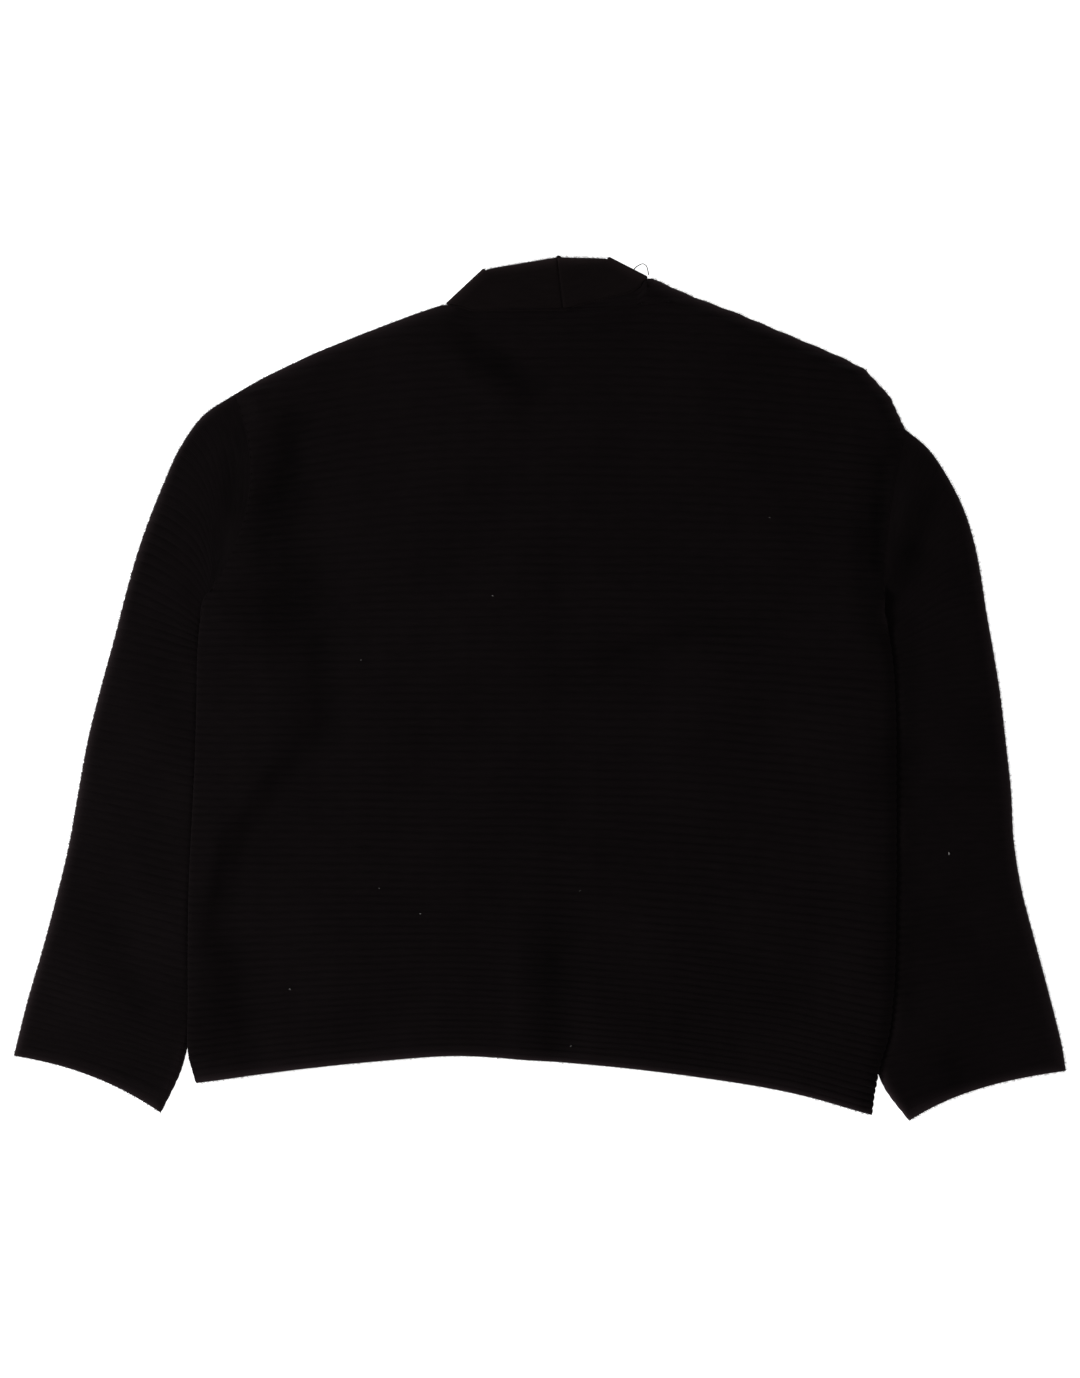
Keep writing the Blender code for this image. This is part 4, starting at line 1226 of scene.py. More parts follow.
@dataclass
class FrontPanel(Piece):
    """One front: a plain layer on the surface, raised where its side lies on the sleeve."""

    name: str
    plan: BodyPlan
    sleeve: SleevePlan
    edge: Table
    interior_columns: int = 34
    top_margin: float = 0.0035
    under_round: float = 0.0008
    iterations: int = 30

    def __post_init__(self) -> None:
        """Works out the panel's two faces and its seam with the band."""
        plan, side = self.plan, self.sleeve.side
        keys = rising(self.edge)
        top_height = min(TOP_ROW_HEIGHT, keys[-1, 0] - self.top_margin)
        below = plan.heights[:: len(CLOTH.rib_steps)]
        heights = np.append(top_height, below[below < top_height - self.top_margin])
        ends = plan.row_ends(side, heights)
        end_x = ends.points[:, 0]
        seam_x = end_x
        for _ in range(self.iterations):
            seam_x = through(keys, plan.row_y(seam_x[:, None], heights)[:, 0])[:, 0]
        seam_x = seam_x + side.value * CLOTH.seam_gap
        width = (end_x - seam_x) * side.value
        fit = np.minimum(1.0, width / plan.full_row * 2)[:, None]
        sewn = sewn_share(ends.points, self.sleeve)[:, None]
        inset = CLOTH.roll_inset * (1 - sewn)
        slant = np.maximum(ends.sine, plan.least_angle)[:, None]
        steps = fit * (np.array(plan.edge_steps) + inset) / slant
        even = np.linspace(0.0, 1.0, self.interior_columns + 1)[1:]
        rest = steps[:, -1:] + (width[:, None] - steps[:, -1:]) * even
        across = np.concatenate([steps, rest], axis=1)
        xs = end_x[:, None] - side.value * across
        ys = plan.row_y(xs, heights)
        low = plan.lift(xs, ys)
        turned = 1 - rounding((across - across[:, :1]) * slant, CLOTH.edge_round)
        under = low + turned * self.under_round * (1 - sewn)
        self.upper: Array = np.dstack([xs, ys, low + CLOTH.wall])
        self.lower: Array = np.dstack([xs, ys, under])
        self.seam: Array = np.column_stack([xs[:, -1], ys[:, -1]])
        # A painted rim light along the front's side edge
        self.rim: Array = CLOTH.rim(across)

    def shell(self) -> Shell:
        """Two grids joined all round.

        Returns:
            The shell.
        """
        shell = Shell()
        faces = (self.upper, self.lower)
        top, below = (shell.add(face, face[..., :2], CLOTH.plain_rib, self.rim) for face in faces)
        shell.quads(top)
        shell.quads(below)
        for edge in (np.s_[:, 0], np.s_[:, -1], np.s_[0], np.s_[-1]):
            shell.quads(np.stack([top[edge], below[edge]]))
        return shell


@dataclass
class SleeveTube(Piece):
    """One sleeve: a flattened tube, ribbed above and round both folds, flat below.

    The tops are the upper face's heights away from the folds: free, under the body and at the
    armhole. The tuck's fades are the lengths over which it sets in at the cuff's end and dies out
    below the underarm.
    """

    name: str
    plan: SleevePlan
    folds: Table
    top: float = 0.0066
    tucked_top: float = 0.0047
    seam_top: float = 0.0045
    fold_height: float = 0.0024
    seam_blend: float = 0.030
    tuck_blend: float = 0.009
    tuck_start: float = 0.35
    tuck_fades: tuple[float, float] = (0.01, 0.012)
    tucked_rib: float = 0.3
    armhole_rib: float = 0.4
    armhole_reach: float = 0.14
    armhole_round: float = 0.25
    round_reach: float = 0.05
    crowding_power: float = 1.5
    steep_loss: float = 0.6
    steep_start: float = 0.3
    steep_range: float = 0.4
    rib_share: float = 0.65
    upper_round: float = 0.006
    lower_round: float = 0.0035
    armhole_gap: float = 0.0003
    inner_inset: float = 0.0023
    air_floor: float = 0.0002
    edge_steps: tuple[float, ...] = (0.0, 0.00015, 0.0006, 0.0013, 0.0023, 0.0037, 0.0055)
    interior_columns: int = 46
    lower_columns: int = 4
    lower_uv_shift: float = 0.2
    cuff_round: float = 0.0022
    cuff_drop: float = 0.0011
    end_reach: float = 0.004
    fold_fade: float = 0.012
    wander_fade: float = 0.02
    # The trough depth at which the painted crease shade is full
    full_crease_shade: float = 0.0018
    # The painted rim light: its strength along the folds and the cuff, its share at the armhole, and the
    # reach over which it grows to full
    edge_rim: float = 1.1
    armhole_rim: float = 0.3
    rim_reach: float = 0.03
    waves: Undulation = Undulation(seed=43, height=0.0003, shortest=0.05, longest=0.13)
    strength: Undulation = Undulation(seed=53, height=0.16, shortest=0.05, longest=0.16)
    wander: Undulation = Undulation(seed=61, height=0.00022, shortest=0.03, longest=0.09)

    def __post_init__(self) -> None:
        """Works out the rings of the outside, with the ribs pushed out square to the cloth."""
        plan, lines = self.plan, self.plan.lines
        self.length: Array = np.linalg.norm(lines[:, 4:6] - lines[:, 0:2], axis=1)[:, None]
        edge = np.array(self.edge_steps) / self.length
        self.shares, self.is_upper = ring_shares(edge, self.interior_columns, self.lower_columns)
        flat = plan.bowed(lines, self.shares)
        x, y = flat[..., 0], flat[..., 1]
        from_outer, from_inner = self.shares * self.length, (1 - self.shares) * self.length
        nearest = np.minimum(from_outer, from_inner)
        from_cuff = (plan.distances[-1] - plan.distances)[:, None]
        self.under_body: Array = self.tucked(x, y)
        self.tops: Array = self.heights(x, y, nearest)

        fullness = self.armhole_round + (1 - self.armhole_round) * self.grown(self.round_reach)
        upper_round = self.upper_round * np.where(from_inner < from_outer, fullness, 1.0)
        high, low = rounding(nearest, upper_round), rounding(nearest, self.lower_round)
        upper_z = self.fold_height + (self.tops - self.fold_height) * high
        z = np.where(self.is_upper, upper_z, self.fold_height * (1 - low))

        rib = 0.5 + (CLOTH.rib(plan.counts)[:, None] - 0.5) * self.rib_strength(flat)
        amount = CLOTH.rib_depth * (rib - 0.5) * (1 + self.strength.at(x, y))
        end_fade = self.grown(self.end_reach)
        z = z + amount * np.where(self.is_upper, high, 0.0) * end_fade
        drop = self.cuff_drop * (1 - rounding(from_cuff, self.cuff_round))
        z = z - np.where(self.is_upper, drop * high, 0.0)

        sideways = 1.0 - np.clip(nearest / np.where(self.is_upper, upper_round, self.lower_round), 0.0, 1.0)
        outer_way = unit(lines[:, 0:2] - lines[:, 2:4])[:, None]
        inner_way = unit(lines[:, 4:6] - lines[:, 2:4])[:, None]
        way = np.where((from_outer < from_inner)[..., None], outer_way, inner_way)
        fade = np.where(self.is_upper, 1.0, 1 - low)
        flat = flat + way * (amount * sideways * fade * CLOTH.side_scallop * end_fade)[..., None]
        along = unit(np.gradient(lines[:, 0:2], axis=0))[:, None]
        quiet = ease(nearest / self.wander_fade) * self.grown(self.wander_fade)
        quiet = quiet * ease(from_cuff / self.wander_fade)
        flat = flat + along * (self.wander.at(x, y) * quiet * self.is_upper)[..., None]
        flat[..., 0] += plan.side.value * self.armhole_gap
        self.outside: Array = np.dstack([flat, z])

        # The rib's value, which sets a painted shade in the valleys on top of the real relief
        self.rib: Array = np.where(self.is_upper, rib, CLOTH.plain_rib)
        # Painted shade, darkest in the bottoms of the troughs
        pressed = np.clip(-bells(x, y, self.folds), 0.0, None).sum(axis=-1)
        self.crease: Array = np.clip(pressed / self.full_crease_shade, 0.0, 1.0) * self.is_upper
        # A painted rim light along the folds and the cuff, weaker near the armhole and none where the body
        # lies over the sleeve
        from_armhole = self.armhole_rim + (1 - self.armhole_rim) * self.grown(self.rim_reach)
        rim = self.edge_rim * CLOTH.rim(np.minimum(nearest, from_cuff))
        self.rim: Array = rim * (1 - self.under_body) * from_armhole

    def grown(self, reach: float) -> Array:
        """A column that eases from 0 at the armhole to 1 at the reach along the sleeve."""
        return ease(self.plan.distances / reach)[:, None]

    def tucked(self, x: Array, y: Array) -> Array:
        """How far each point lies under the body's side: 1 below it, fading to 0 outside.

        Args:
            x, y: the points' places.

        Returns:
            The shares.
        """
        side = self.plan.body_side
        under = (np.interp(y, side[:, 1], side[:, 0]) - x) * self.plan.side.value
        low_fade, high_fade = self.tuck_fades
        in_range = ease((y - side[0, 1]) / low_fade + 1) * ease((self.plan.underarm - y) / high_fade)
        return ease(under / self.tuck_blend + self.tuck_start) * in_range

    def rib_strength(self, flat: Array) -> Array:
        """How much of their full height the ribs keep at each point.

        They lose some where they crowd together, near the armhole, where the lines across run
        steeply, and under the body.

        Args:
            flat: the points' x and y.

        Returns:
            The shares.
        """
        plan = self.plan
        crowded = np.linalg.norm(np.gradient(flat, axis=0), axis=-1) / np.gradient(plan.counts)[:, None]
        settled = self.armhole_rib + (1 - self.armhole_rib) * self.grown(self.armhole_reach)
        steep = abs(unit(np.gradient(flat, axis=1))[..., 1])
        tame = np.clip(crowded / CLOTH.full_pitch, 0.0, 1.0) ** self.crowding_power
        tame = tame * settled * self.rib_share
        tame = tame * (1 - self.steep_loss * ease((steep - self.steep_start) / self.steep_range))
        return tame * (1 - (1 - self.tucked_rib) * self.under_body)

    def heights(self, x: Array, y: Array, nearest: Array) -> Array:
        """The upper face's height away from the folds, without its ribs.

        Args:
            x, y: the points' places.
            nearest: their distance from the nearer fold.

        Returns:
            The heights.
        """
        from_seam = self.grown(self.seam_blend)
        cover = self.plan.cover()
        pressed = bells(x, y, BACK_TROUGHS).max(axis=-1)
        start = self.seam_top + np.maximum(CLOTH.air - pressed, 0.0) * self.plan.seam_rise(y)
        start = start + CLOTH.lift * np.interp(y, cover[:, 0], cover[:, 2])
        plain = start + (self.top - start) * from_seam
        loose = bells(x, y, self.folds).sum(axis=-1) + self.waves.at(x, y)
        free = (1 - self.under_body) * from_seam * ease(nearest / self.fold_fade)
        settled = plain + (self.tucked_top - plain) * self.under_body
        return settled + loose * free

    def inside(self) -> Array:
        """The rings of the plain inside, a wall's thickness in from the outside.

        Returns:
            A grid of points, a ring to a row.
        """
        step = len(CLOTH.rib_steps)
        length = self.length[::step]
        inset = self.inner_inset / length
        held = np.clip(self.shares[::step], inset, 1 - inset)
        flat = self.plan.bowed(self.plan.lines[::step], held)
        flat[..., 0] += self.plan.side.value * self.armhole_gap
        from_fold = np.minimum(held, 1 - held) * length - self.inner_inset
        open_up = rounding(from_fold, self.lower_round)
        floor = CLOTH.wall
        ceiling = np.maximum(self.tops[::step] - CLOTH.wall - CLOTH.rib_depth / 2, floor + self.air_floor)
        middle = floor + self.air_floor / 2
        far = np.where(self.is_upper, ceiling, floor)
        return np.dstack([flat, middle + (far - middle) * open_up])

    def shell(self) -> Shell:
        """The outside, the inside, and the two open ends between them.

        Returns:
            The shell.
        """
        shell = Shell()
        step = len(CLOTH.rib_steps)
        across = self.shares * self.length + np.where(self.is_upper, 0.0, self.lower_uv_shift)
        down = np.broadcast_to(self.plan.counts[:, None] * CLOTH.stitch_run, self.shares.shape)
        uv = np.stack([across, down], axis=-1)
        outside = shell.add(self.outside, uv, self.rib, self.rim, self.crease)
        inside = shell.add(self.inside(), uv[::step], CLOTH.even_rib)
        shell.rings(outside)
        shell.rings(inside)
        for row in (0, -1):
            shell.rings(np.stack([outside[row], inside[row]]))
        return shell


@dataclass
class NeckAndFrontBand(Piece):
    """Half the band: up a front edge below, folded at the side of the neck, along the back neck.

    The groove is a faint crease below the free edge, from one x to another, and its depth.
    """

    name: str
    side: Side
    edge: Table
    seam: Array
    fold: tuple[float, float, float, float]
    neck: Array
    groove: tuple[float, float, float] = (0.0, 0.0, 0.0)
    fold_radius: float = 0.0014
    upper_middle: float = 0.0039
    front_spacing: float = 0.006
    fold_steps: int = 16
    back_columns: int = 44
    end_steps: tuple[float, ...] = (0.0, 0.0003, 0.0008, 0.0016)
    end_clear: float = 0.005
    end_share: float = 0.35
    end_round: float = 0.0016
    edge_steps: tuple[float, ...] = (0.0, 0.0001, 0.0004, 0.0008, 0.0013, 0.0019, 0.0024, 0.0029, 0.0036)
    edge_share: float = 0.6
    interior_columns: int = 18
    corner: float = 0.0012
    corner_reach: float = 0.009
    groove_inset: float = 0.0024
    groove_width: float = 0.0005
    groove_fade: float = 0.004
    edge_rim: float = 1.2

    def __post_init__(self) -> None:
        """Works out the fold's line and which way is away from it."""
        self.inwards: float = -self.side.value
        self.start: Array = np.array(self.fold[0:2])
        self.end: Array = np.array(self.fold[2:4])
        self.way: Array = unit(self.end - self.start)
        self.away: Array = np.array([-self.way[1], self.way[0]]) * self.inwards
        self.set_in: Array = -self.away * (self.fold_radius + CLOTH.wall / 2)

    def front_lines(self) -> CrossLines:
        """The cross lines up the front edge, where the band lies flat on the surface.

        Returns:
            The lines from the hem up.
        """
        keys, seam = rising(self.edge), self.seam[::-1]
        tall = np.ptp(seam[:, 1])
        ys = seam[0, 1] + tall * np.linspace(0.0, 1.0, int(tall / self.front_spacing))
        seam_x = np.interp(ys, seam[:, 1], seam[:, 0]) + self.inwards * CLOTH.seam_gap
        height = np.full(len(ys), CLOTH.wall / 2)
        return np.column_stack([seam_x, ys]), through(keys, ys)[:, 1:3], height, np.tile(UP, (len(ys), 1))

    def fold_lines(self) -> CrossLines:
        """The cross lines round the fold, on a half circle: away by r cos t, and up by r + r sin t.

        Returns:
            The lines from below to above.
        """
        radius = self.fold_radius
        turn = np.linspace(-np.pi / 2, np.pi / 2, self.fold_steps + 1)[:, None]
        shift = self.set_in + self.away * np.cos(turn) * radius
        height = CLOTH.wall / 2 + radius + np.sin(turn[:, 0]) * radius
        normal = np.column_stack([-self.away * np.cos(turn), -np.sin(turn)])
        return self.start + shift, self.end - self.way * self.corner + shift, height, normal

    def back_lines(self) -> CrossLines:
        """The cross lines along the back neck, the free edge's first corner eased.

        Returns:
            The lines from the fold to the centre.
        """
        gap = self.inwards * CLOTH.seam_gap / 2
        centre_x, centre_top = CENTRE_SEAM_X - gap, np.array([CENTRE_TOP[0] - gap, CENTRE_TOP[1]])
        first, top = self.start + self.set_in, self.end + self.set_in
        even = np.linspace(0.0, 1.0, self.back_columns + 1)[1:]
        ends = 1 - np.array(self.end_steps) / abs(centre_x - first[0])
        shares = np.unique(np.concatenate([even[even < ends.min() - self.end_clear], ends]))[:, None]
        seam_x = first[0] + (centre_x - first[0]) * shares[:, 0]
        seam_y = np.interp(seam_x, self.neck[:, 0], self.neck[:, 1]) + CLOTH.seam_gap
        free = top * (1 - shares) + centre_top * shares
        from_corner = along_path(np.vstack([top, free]))[1:, None]
        free = free - self.way * (self.corner * np.clip(1 - from_corner / self.corner_reach, 0.0, 1.0) ** 2)
        height = np.full(len(shares), self.upper_middle)
        return np.column_stack([seam_x, seam_y]), free, height, np.tile(-UP, (len(shares), 1))

    def shell(self) -> Shell:
        """A flat section with rounded edges carried along the cross lines.

        Returns:
            The shell.
        """
        parts = (self.front_lines(), self.fold_lines(), self.back_lines())
        seam, free, height, normal = (np.concatenate(part) for part in zip(*parts))
        self.edge_line: Array = np.column_stack([free, height])
        width = np.linalg.norm(free - seam, axis=1)[:, None]
        columns = self.interior_columns
        shares, is_outer = ring_shares(np.array(self.edge_steps) / width, columns, columns)
        nearest = np.minimum(shares, 1 - shares) * width
        from_free = (1 - shares) * width
        along = along_path((seam + free) / 2)[:, None]
        from_end = np.minimum(along, along[-1] - along)
        at_end = self.end_share + (1 - self.end_share) * rounding(from_end, self.end_round)
        thick = rounding(nearest, CLOTH.wall * self.edge_share) * at_end
        flat = seam[:, None] * (1 - shares[..., None]) + free[:, None] * shares[..., None]
        centre = np.dstack([flat, np.broadcast_to(height[:, None], shares.shape)])

        low, high, depth = self.groove
        in_groove = between(flat[..., 0], low, high, self.groove_fade, self.groove_fade)
        on_line = np.exp(-(((from_free - self.groove_inset) / self.groove_width) ** 2))
        upper_part = (height > self.upper_middle - TINY)[:, None]
        half = CLOTH.wall / 2 * thick - depth * in_groove * on_line * upper_part * is_outer
        points = centre + normal[:, None] * (np.where(is_outer, -1.0, 1.0) * half)[..., None]
        uv = np.stack([np.broadcast_to(along, shares.shape), shares * width], axis=-1)
        from_fold = abs((flat - self.start) @ self.away)
        # A painted rim light along the free edge and the fold
        rim = np.maximum(CLOTH.rim(from_free), CLOTH.rim(from_fold)) * self.edge_rim
        shell = Shell()
        shell.closed_tube(points, uv, CLOTH.band_rib, rim)
        return shell


@dataclass
class LinkedSeam(Piece):
    """A seam's thread: a slim cord in the seam's line, with a bump for each linked stitch."""

    name: str
    path: Array
    slot: Slot = Slot.RIB_KNIT
    radius: float = 0.0006
    stitch: float = 0.0021
    swell: float = 0.18
    spacing: float = 0.0006
    sides: int = 6
    end_share: float = 0.3
    end_round: float = 0.001
    girth: float = 6.0
    knot: tuple[float, float, float] | None = None
    knot_size: tuple[float, float, float] = (0.0019, 0.0012, 0.0009)
    knot_pole: float = 0.15
    knot_rings: int = 9
    knot_sides: int = 14

    def shell(self) -> Shell:
        """A tube whose radius swells as 1 + swell sin(2 pi s / stitch), and the knot.

        Returns:
            The shell.
        """
        line = resampled(self.path, self.spacing)
        along = along_path(line)
        beat = 1 + self.swell * np.sin(2 * np.pi * along / self.stitch)
        from_end = np.minimum(along, along[-1] - along)
        slim = self.end_share + (1 - self.end_share) * rounding(from_end, self.end_round)
        turn = np.linspace(0.0, self.radius * self.girth, self.sides)
        uv = np.stack(np.broadcast_arrays(along[:, None], turn), axis=-1)
        shell = Shell()
        shell.closed_tube(tube(line, self.radius * beat * slim, self.sides), uv, CLOTH.seam_rib)
        if self.knot is not None:
            ball = np.array(self.knot) + self.ball() * np.array(self.knot_size)
            shell.closed_tube(ball, ball[..., :2], CLOTH.seam_rib)
        return shell

    def ball(self) -> Array:
        """A sphere of two angles, open at its poles: (sin p cos t, sin p sin t, cos p).

        Returns:
            A grid of points, a ring to a row.
        """
        polar = np.linspace(self.knot_pole, np.pi - self.knot_pole, self.knot_rings)[:, None]
        turn = np.linspace(0.0, 2 * np.pi, self.knot_sides, endpoint=False)
        sides = np.sin(polar) * np.cos(turn), np.sin(polar) * np.sin(turn)
        return np.stack(np.broadcast_arrays(*sides, np.cos(polar)), axis=-1)


@dataclass
class EdgeFibres(Piece):
    """Fine fibres that stand out from the knit's outer edges and soften its outline."""

    name: str
    edges: list[Array]
    spacing: float = 0.0003
    lengths: tuple[float, float] = (0.0009, 0.0033)
    spread: float = 1.0
    rises: tuple[float, float] = (-0.3, 0.5)
    bends: tuple[float, float] = (-0.5, 0.5)
    radius: float = 0.00012
    thinning: tuple[float, ...] = (1.0, 0.8, 0.35)
    root: float = 0.0004
    loft: float = 0.0006
    sides: int = 3
    seed: int = 83

    def shell(self) -> Shell:
        """The fibres: each starts inside the edge and bends by the square of its length.

        Returns:
            The shell.
        """
        draw = np.random.default_rng(self.seed)
        lines = [resampled(edge, self.spacing) for edge in self.edges]
        roots = np.concatenate(lines)
        along = np.concatenate([unit(np.gradient(line, axis=0)) for line in lines])
        out = unit(np.column_stack([-along[:, 1], along[:, 0], np.zeros(len(along))]))
        out = out * np.sign((out * roots).sum(axis=1, keepdims=True))
        count = len(roots)
        turn = draw.uniform(-self.spread, self.spread, count)[:, None]
        length = draw.uniform(*self.lengths, count)[:, None]
        rise = draw.uniform(*self.rises, count)[:, None] * UP
        way = unit(out * np.cos(turn) + along * np.sin(turn) + rise)
        bend = along * draw.uniform(*self.bends, count)[:, None]
        start = roots - out * self.root + draw.uniform(-self.loft, self.loft, count)[:, None] * UP
        share = np.linspace(0.0, 1.0, len(self.thinning))[None, :, None]
        middle = start[:, None] + length[:, None] * (way[:, None] * share + bend[:, None] * share**2)
        middle[..., 2] = np.maximum(middle[..., 2], self.radius)
        radii = self.radius * np.array(self.thinning)[None, :, None, None]
        points = middle[:, :, None] + radii * spokes(way, self.sides)[:, None]
        shell = Shell()
        numbers = shell.add(points, points[..., :2], CLOTH.even_rib)
        near, far = numbers[:, :-1], numbers[:, 1:]
        corners = (near, np.roll(near, -1, axis=2), np.roll(far, -1, axis=2), far)
        shell.faces.append(np.stack(corners, axis=-1).reshape(-1, 4))
        shell.faces.append(numbers[:, [0, -1]].reshape(-1, self.sides))
        return shell


@dataclass
class LintFibres(Piece):
    """Short pale fibres that cling to the cloth."""

    name: str
    surfaces: list[Array]
    curl: float = 0.25
    sides: int = 5
    rings: int = 7
    blunt: float = 0.05

    def shell(self) -> Shell:
        """Each fibre a thin tube on the cloth, bent as curl (2t)^2 with t from -1/2 to 1/2.

        Returns:
            The shell.
        """
        cloth = np.concatenate([surface.reshape(-1, 3) for surface in self.surfaces])
        shell = Shell()
        t = np.linspace(-0.5, 0.5, self.rings)
        for x, y, length, degrees, radius in LINT:
            spot = cloth[np.argmin(np.hypot(cloth[:, 0] - x, cloth[:, 1] - y))]
            turn = np.radians(degrees)
            way, off = np.array([np.cos(turn), np.sin(turn)]), np.array([-np.sin(turn), np.cos(turn)])
            flat = (x, y) + length * (t[:, None] * way + self.curl * (t[:, None] ** 2) * 4 * off)
            path = np.column_stack([flat, np.full(len(t), spot[2] + radius)])
            radii = radius * np.sqrt(np.clip(1 + self.blunt - (2 * t) ** 2, self.blunt, 1.0))
            rings = tube(path, radii, self.sides)
            shell.closed_tube(rings, rings[..., :2], 1.0)
        return shell


class Nodes:
    """Adds nodes to a tree and links them, for the finishes below."""

    def __init__(self, tree: NodeTree) -> None:
        """Keeps the tree that the nodes go to."""
        self.tree = tree

    def add(self, kind: str, **settings: object) -> Node:
        """A new node.

        Args:
            kind: its type.
            settings: values for its own properties.

        Returns:
            The node.
        """
        node = self.tree.nodes.new(kind)
        for name, value in settings.items():
            setattr(node, name, value)
        return node

    def feed(self, value: Socket | float, target: Socket) -> None:
        """Gives an input its value.

        Args:
            value: a socket to link, or the value itself.
            target: the input.
        """
        if isinstance(value, Socket):
            self.tree.links.new(value, target)
        else:
            target.default_value = value

    def maths(self, operation: str, first: Socket | float, second: Socket | float = 0.0) -> Socket:
        """A sum or other operation on two numbers.

        Args:
            operation: what is done.
            first, second: the numbers or their sockets.

        Returns:
            The socket with the result.
        """
        node = self.add("ShaderNodeMath", operation=operation)
        self.feed(first, node.inputs[0])
        self.feed(second, node.inputs[1])
        return node.outputs[0]

    def noise(self, place: Socket, scale: float, detail: float) -> Socket:
        """Soft noise from 0 to 1.

        Args:
            place: where it is read.
            scale, detail: the noise's own settings.

        Returns:
            The socket with the result.
        """
        node = self.add("ShaderNodeTexNoise")
        self.feed(place, node.inputs["Vector"])
        node.inputs["Scale"].default_value = scale
        node.inputs["Detail"].default_value = detail
        return node.outputs["Fac"]


def set_inputs(node: Node, values: dict[str, object]) -> None:
    """Sets a node's inputs by name."""
    for title, value in values.items():
        node.inputs[title].default_value = value


def new_material(name: str) -> tuple[Material, Nodes, Node]:
    """A new material, its nodes and its main shader."""
    material = bpy.data.materials.new(name)
    material.use_nodes = True
    return material, Nodes(material.node_tree), material.node_tree.nodes["Principled BSDF"]


def new_group(name: str, takes: dict[str, str], gives: dict[str, str]) -> tuple[Nodes, dict, dict]:
    """Starts a node group.

    Args:
        name: the group's name.
        takes: socket types by input name.
        gives: socket types by output name.

    Returns:
        Its nodes, the sockets it reads by name, and the sockets it fills by name.
    """
    tree = bpy.data.node_groups.new(name, "ShaderNodeTree")
    for title, kind in takes.items():
        tree.interface.new_socket(title, in_out="INPUT", socket_type=kind)
    for title, kind in gives.items():
        tree.interface.new_socket(title, in_out="OUTPUT", socket_type=kind)
    nodes = Nodes(tree)
    entry, leave = nodes.add("NodeGroupInput"), nodes.add("NodeGroupOutput")
    reads = {title: entry.outputs[title] for title in takes}
    fills = {title: leave.inputs[title] for title in gives}
    return nodes, reads, fills


# A strand of yarn: how square it is across, and its lowest height and the rest of it along a loop
STRAND_POWER = 0.7
LOOP_FLOOR = 0.35
LOOP_SWELL = 0.65

# How often the streaks change along the cloth and down it, to the metre
STREAKS = (70.0, 420.0, 1.0)

# The darkest that the tone may get, and the roughness with what the drift takes off it
LEAST_TONE = 0.2
KNIT_ROUGHNESS = 0.98
DRIFT_SHINE = 0.08


def stitch_group() -> NodeTree:
    """Knit stitches: columns of V shapes, two leaning strands to a column.

    A strand's height is sin(pi a)^power across it times floor + swell sin(pi b) along it, where b
    is the place down the column plus a lean that grows from the column's middle.

    Returns:
        The group.
    """
    takes = {"Cloth": "NodeSocketVector", "Wale": "NodeSocketFloat"}
    takes |= {"Course": "NodeSocketFloat", "Lean": "NodeSocketFloat"}
    nodes, reads, fills = new_group("knit_stitch", takes, {"Height": "NodeSocketFloat"})
    parts = nodes.add("ShaderNodeSeparateXYZ")
    nodes.feed(reads["Cloth"], parts.inputs[0])
    column = nodes.maths("DIVIDE", parts.outputs["X"], reads["Wale"])
    centred = nodes.maths("SUBTRACT", nodes.maths("FRACT", column), 0.5)
    from_middle = nodes.maths("ABSOLUTE", centred)
    strand = nodes.maths("SINE", nodes.maths("MULTIPLY", from_middle, 2 * np.pi))
    round_strand = nodes.maths("POWER", nodes.maths("MAXIMUM", strand, 0.0), STRAND_POWER)
    lean = nodes.maths("MULTIPLY", from_middle, reads["Lean"])
    down = nodes.maths("DIVIDE", parts.outputs["Y"], reads["Course"])
    loop = nodes.maths("FRACT", nodes.maths("ADD", down, lean))
    crest = nodes.maths("SINE", nodes.maths("MULTIPLY", loop, np.pi))
    raised = nodes.maths("MULTIPLY_ADD", crest, LOOP_SWELL)
    raised.node.inputs[2].default_value = LOOP_FLOOR
    nodes.feed(nodes.maths("MULTIPLY", round_strand, raised), fills["Height"])
    return nodes.tree


def fuzz_group() -> NodeTree:
    """Fibre fuzz: fine noise for the bump, a slow drift of tone, and streaks along the courses.

    Returns:
        The group.
    """
    takes = {"Place": "NodeSocketVector", "Cloth": "NodeSocketVector"}
    takes |= {"Fine": "NodeSocketFloat", "Slow": "NodeSocketFloat"}
    gives = {title: "NodeSocketFloat" for title in ("Fuzz", "Drift", "Streak")}
    nodes, reads, fills = new_group("fibre_fuzz", takes, gives)
    drawn_out = nodes.add("ShaderNodeVectorMath", operation="MULTIPLY")
    nodes.feed(reads["Cloth"], drawn_out.inputs[0])
    drawn_out.inputs[1].default_value = STREAKS
    nodes.feed(nodes.noise(drawn_out.outputs[0], 1.0, 2.0), fills["Streak"])
    for scale, detail, title in (("Fine", 3.0, "Fuzz"), ("Slow", 2.0, "Drift")):
        node = nodes.add("ShaderNodeTexNoise")
        nodes.feed(reads["Place"], node.inputs["Vector"])
        nodes.feed(reads[scale], node.inputs["Scale"])
        node.inputs["Detail"].default_value = detail
        nodes.feed(node.outputs["Fac"], fills[title])
    return nodes.tree


# What changes the yarn's tone, and the value of each at which it changes nothing; the rib, rim, crease and
# stitch values paint shade and light, the drift and streaks are the yarn's own
TONE_MIDDLES = {"Rib Shade": 0.5, "Rim": 0.0, "Crease": 0.0, "Stitch": 0.5, "Drift": 0.5, "Streak": 0.5}


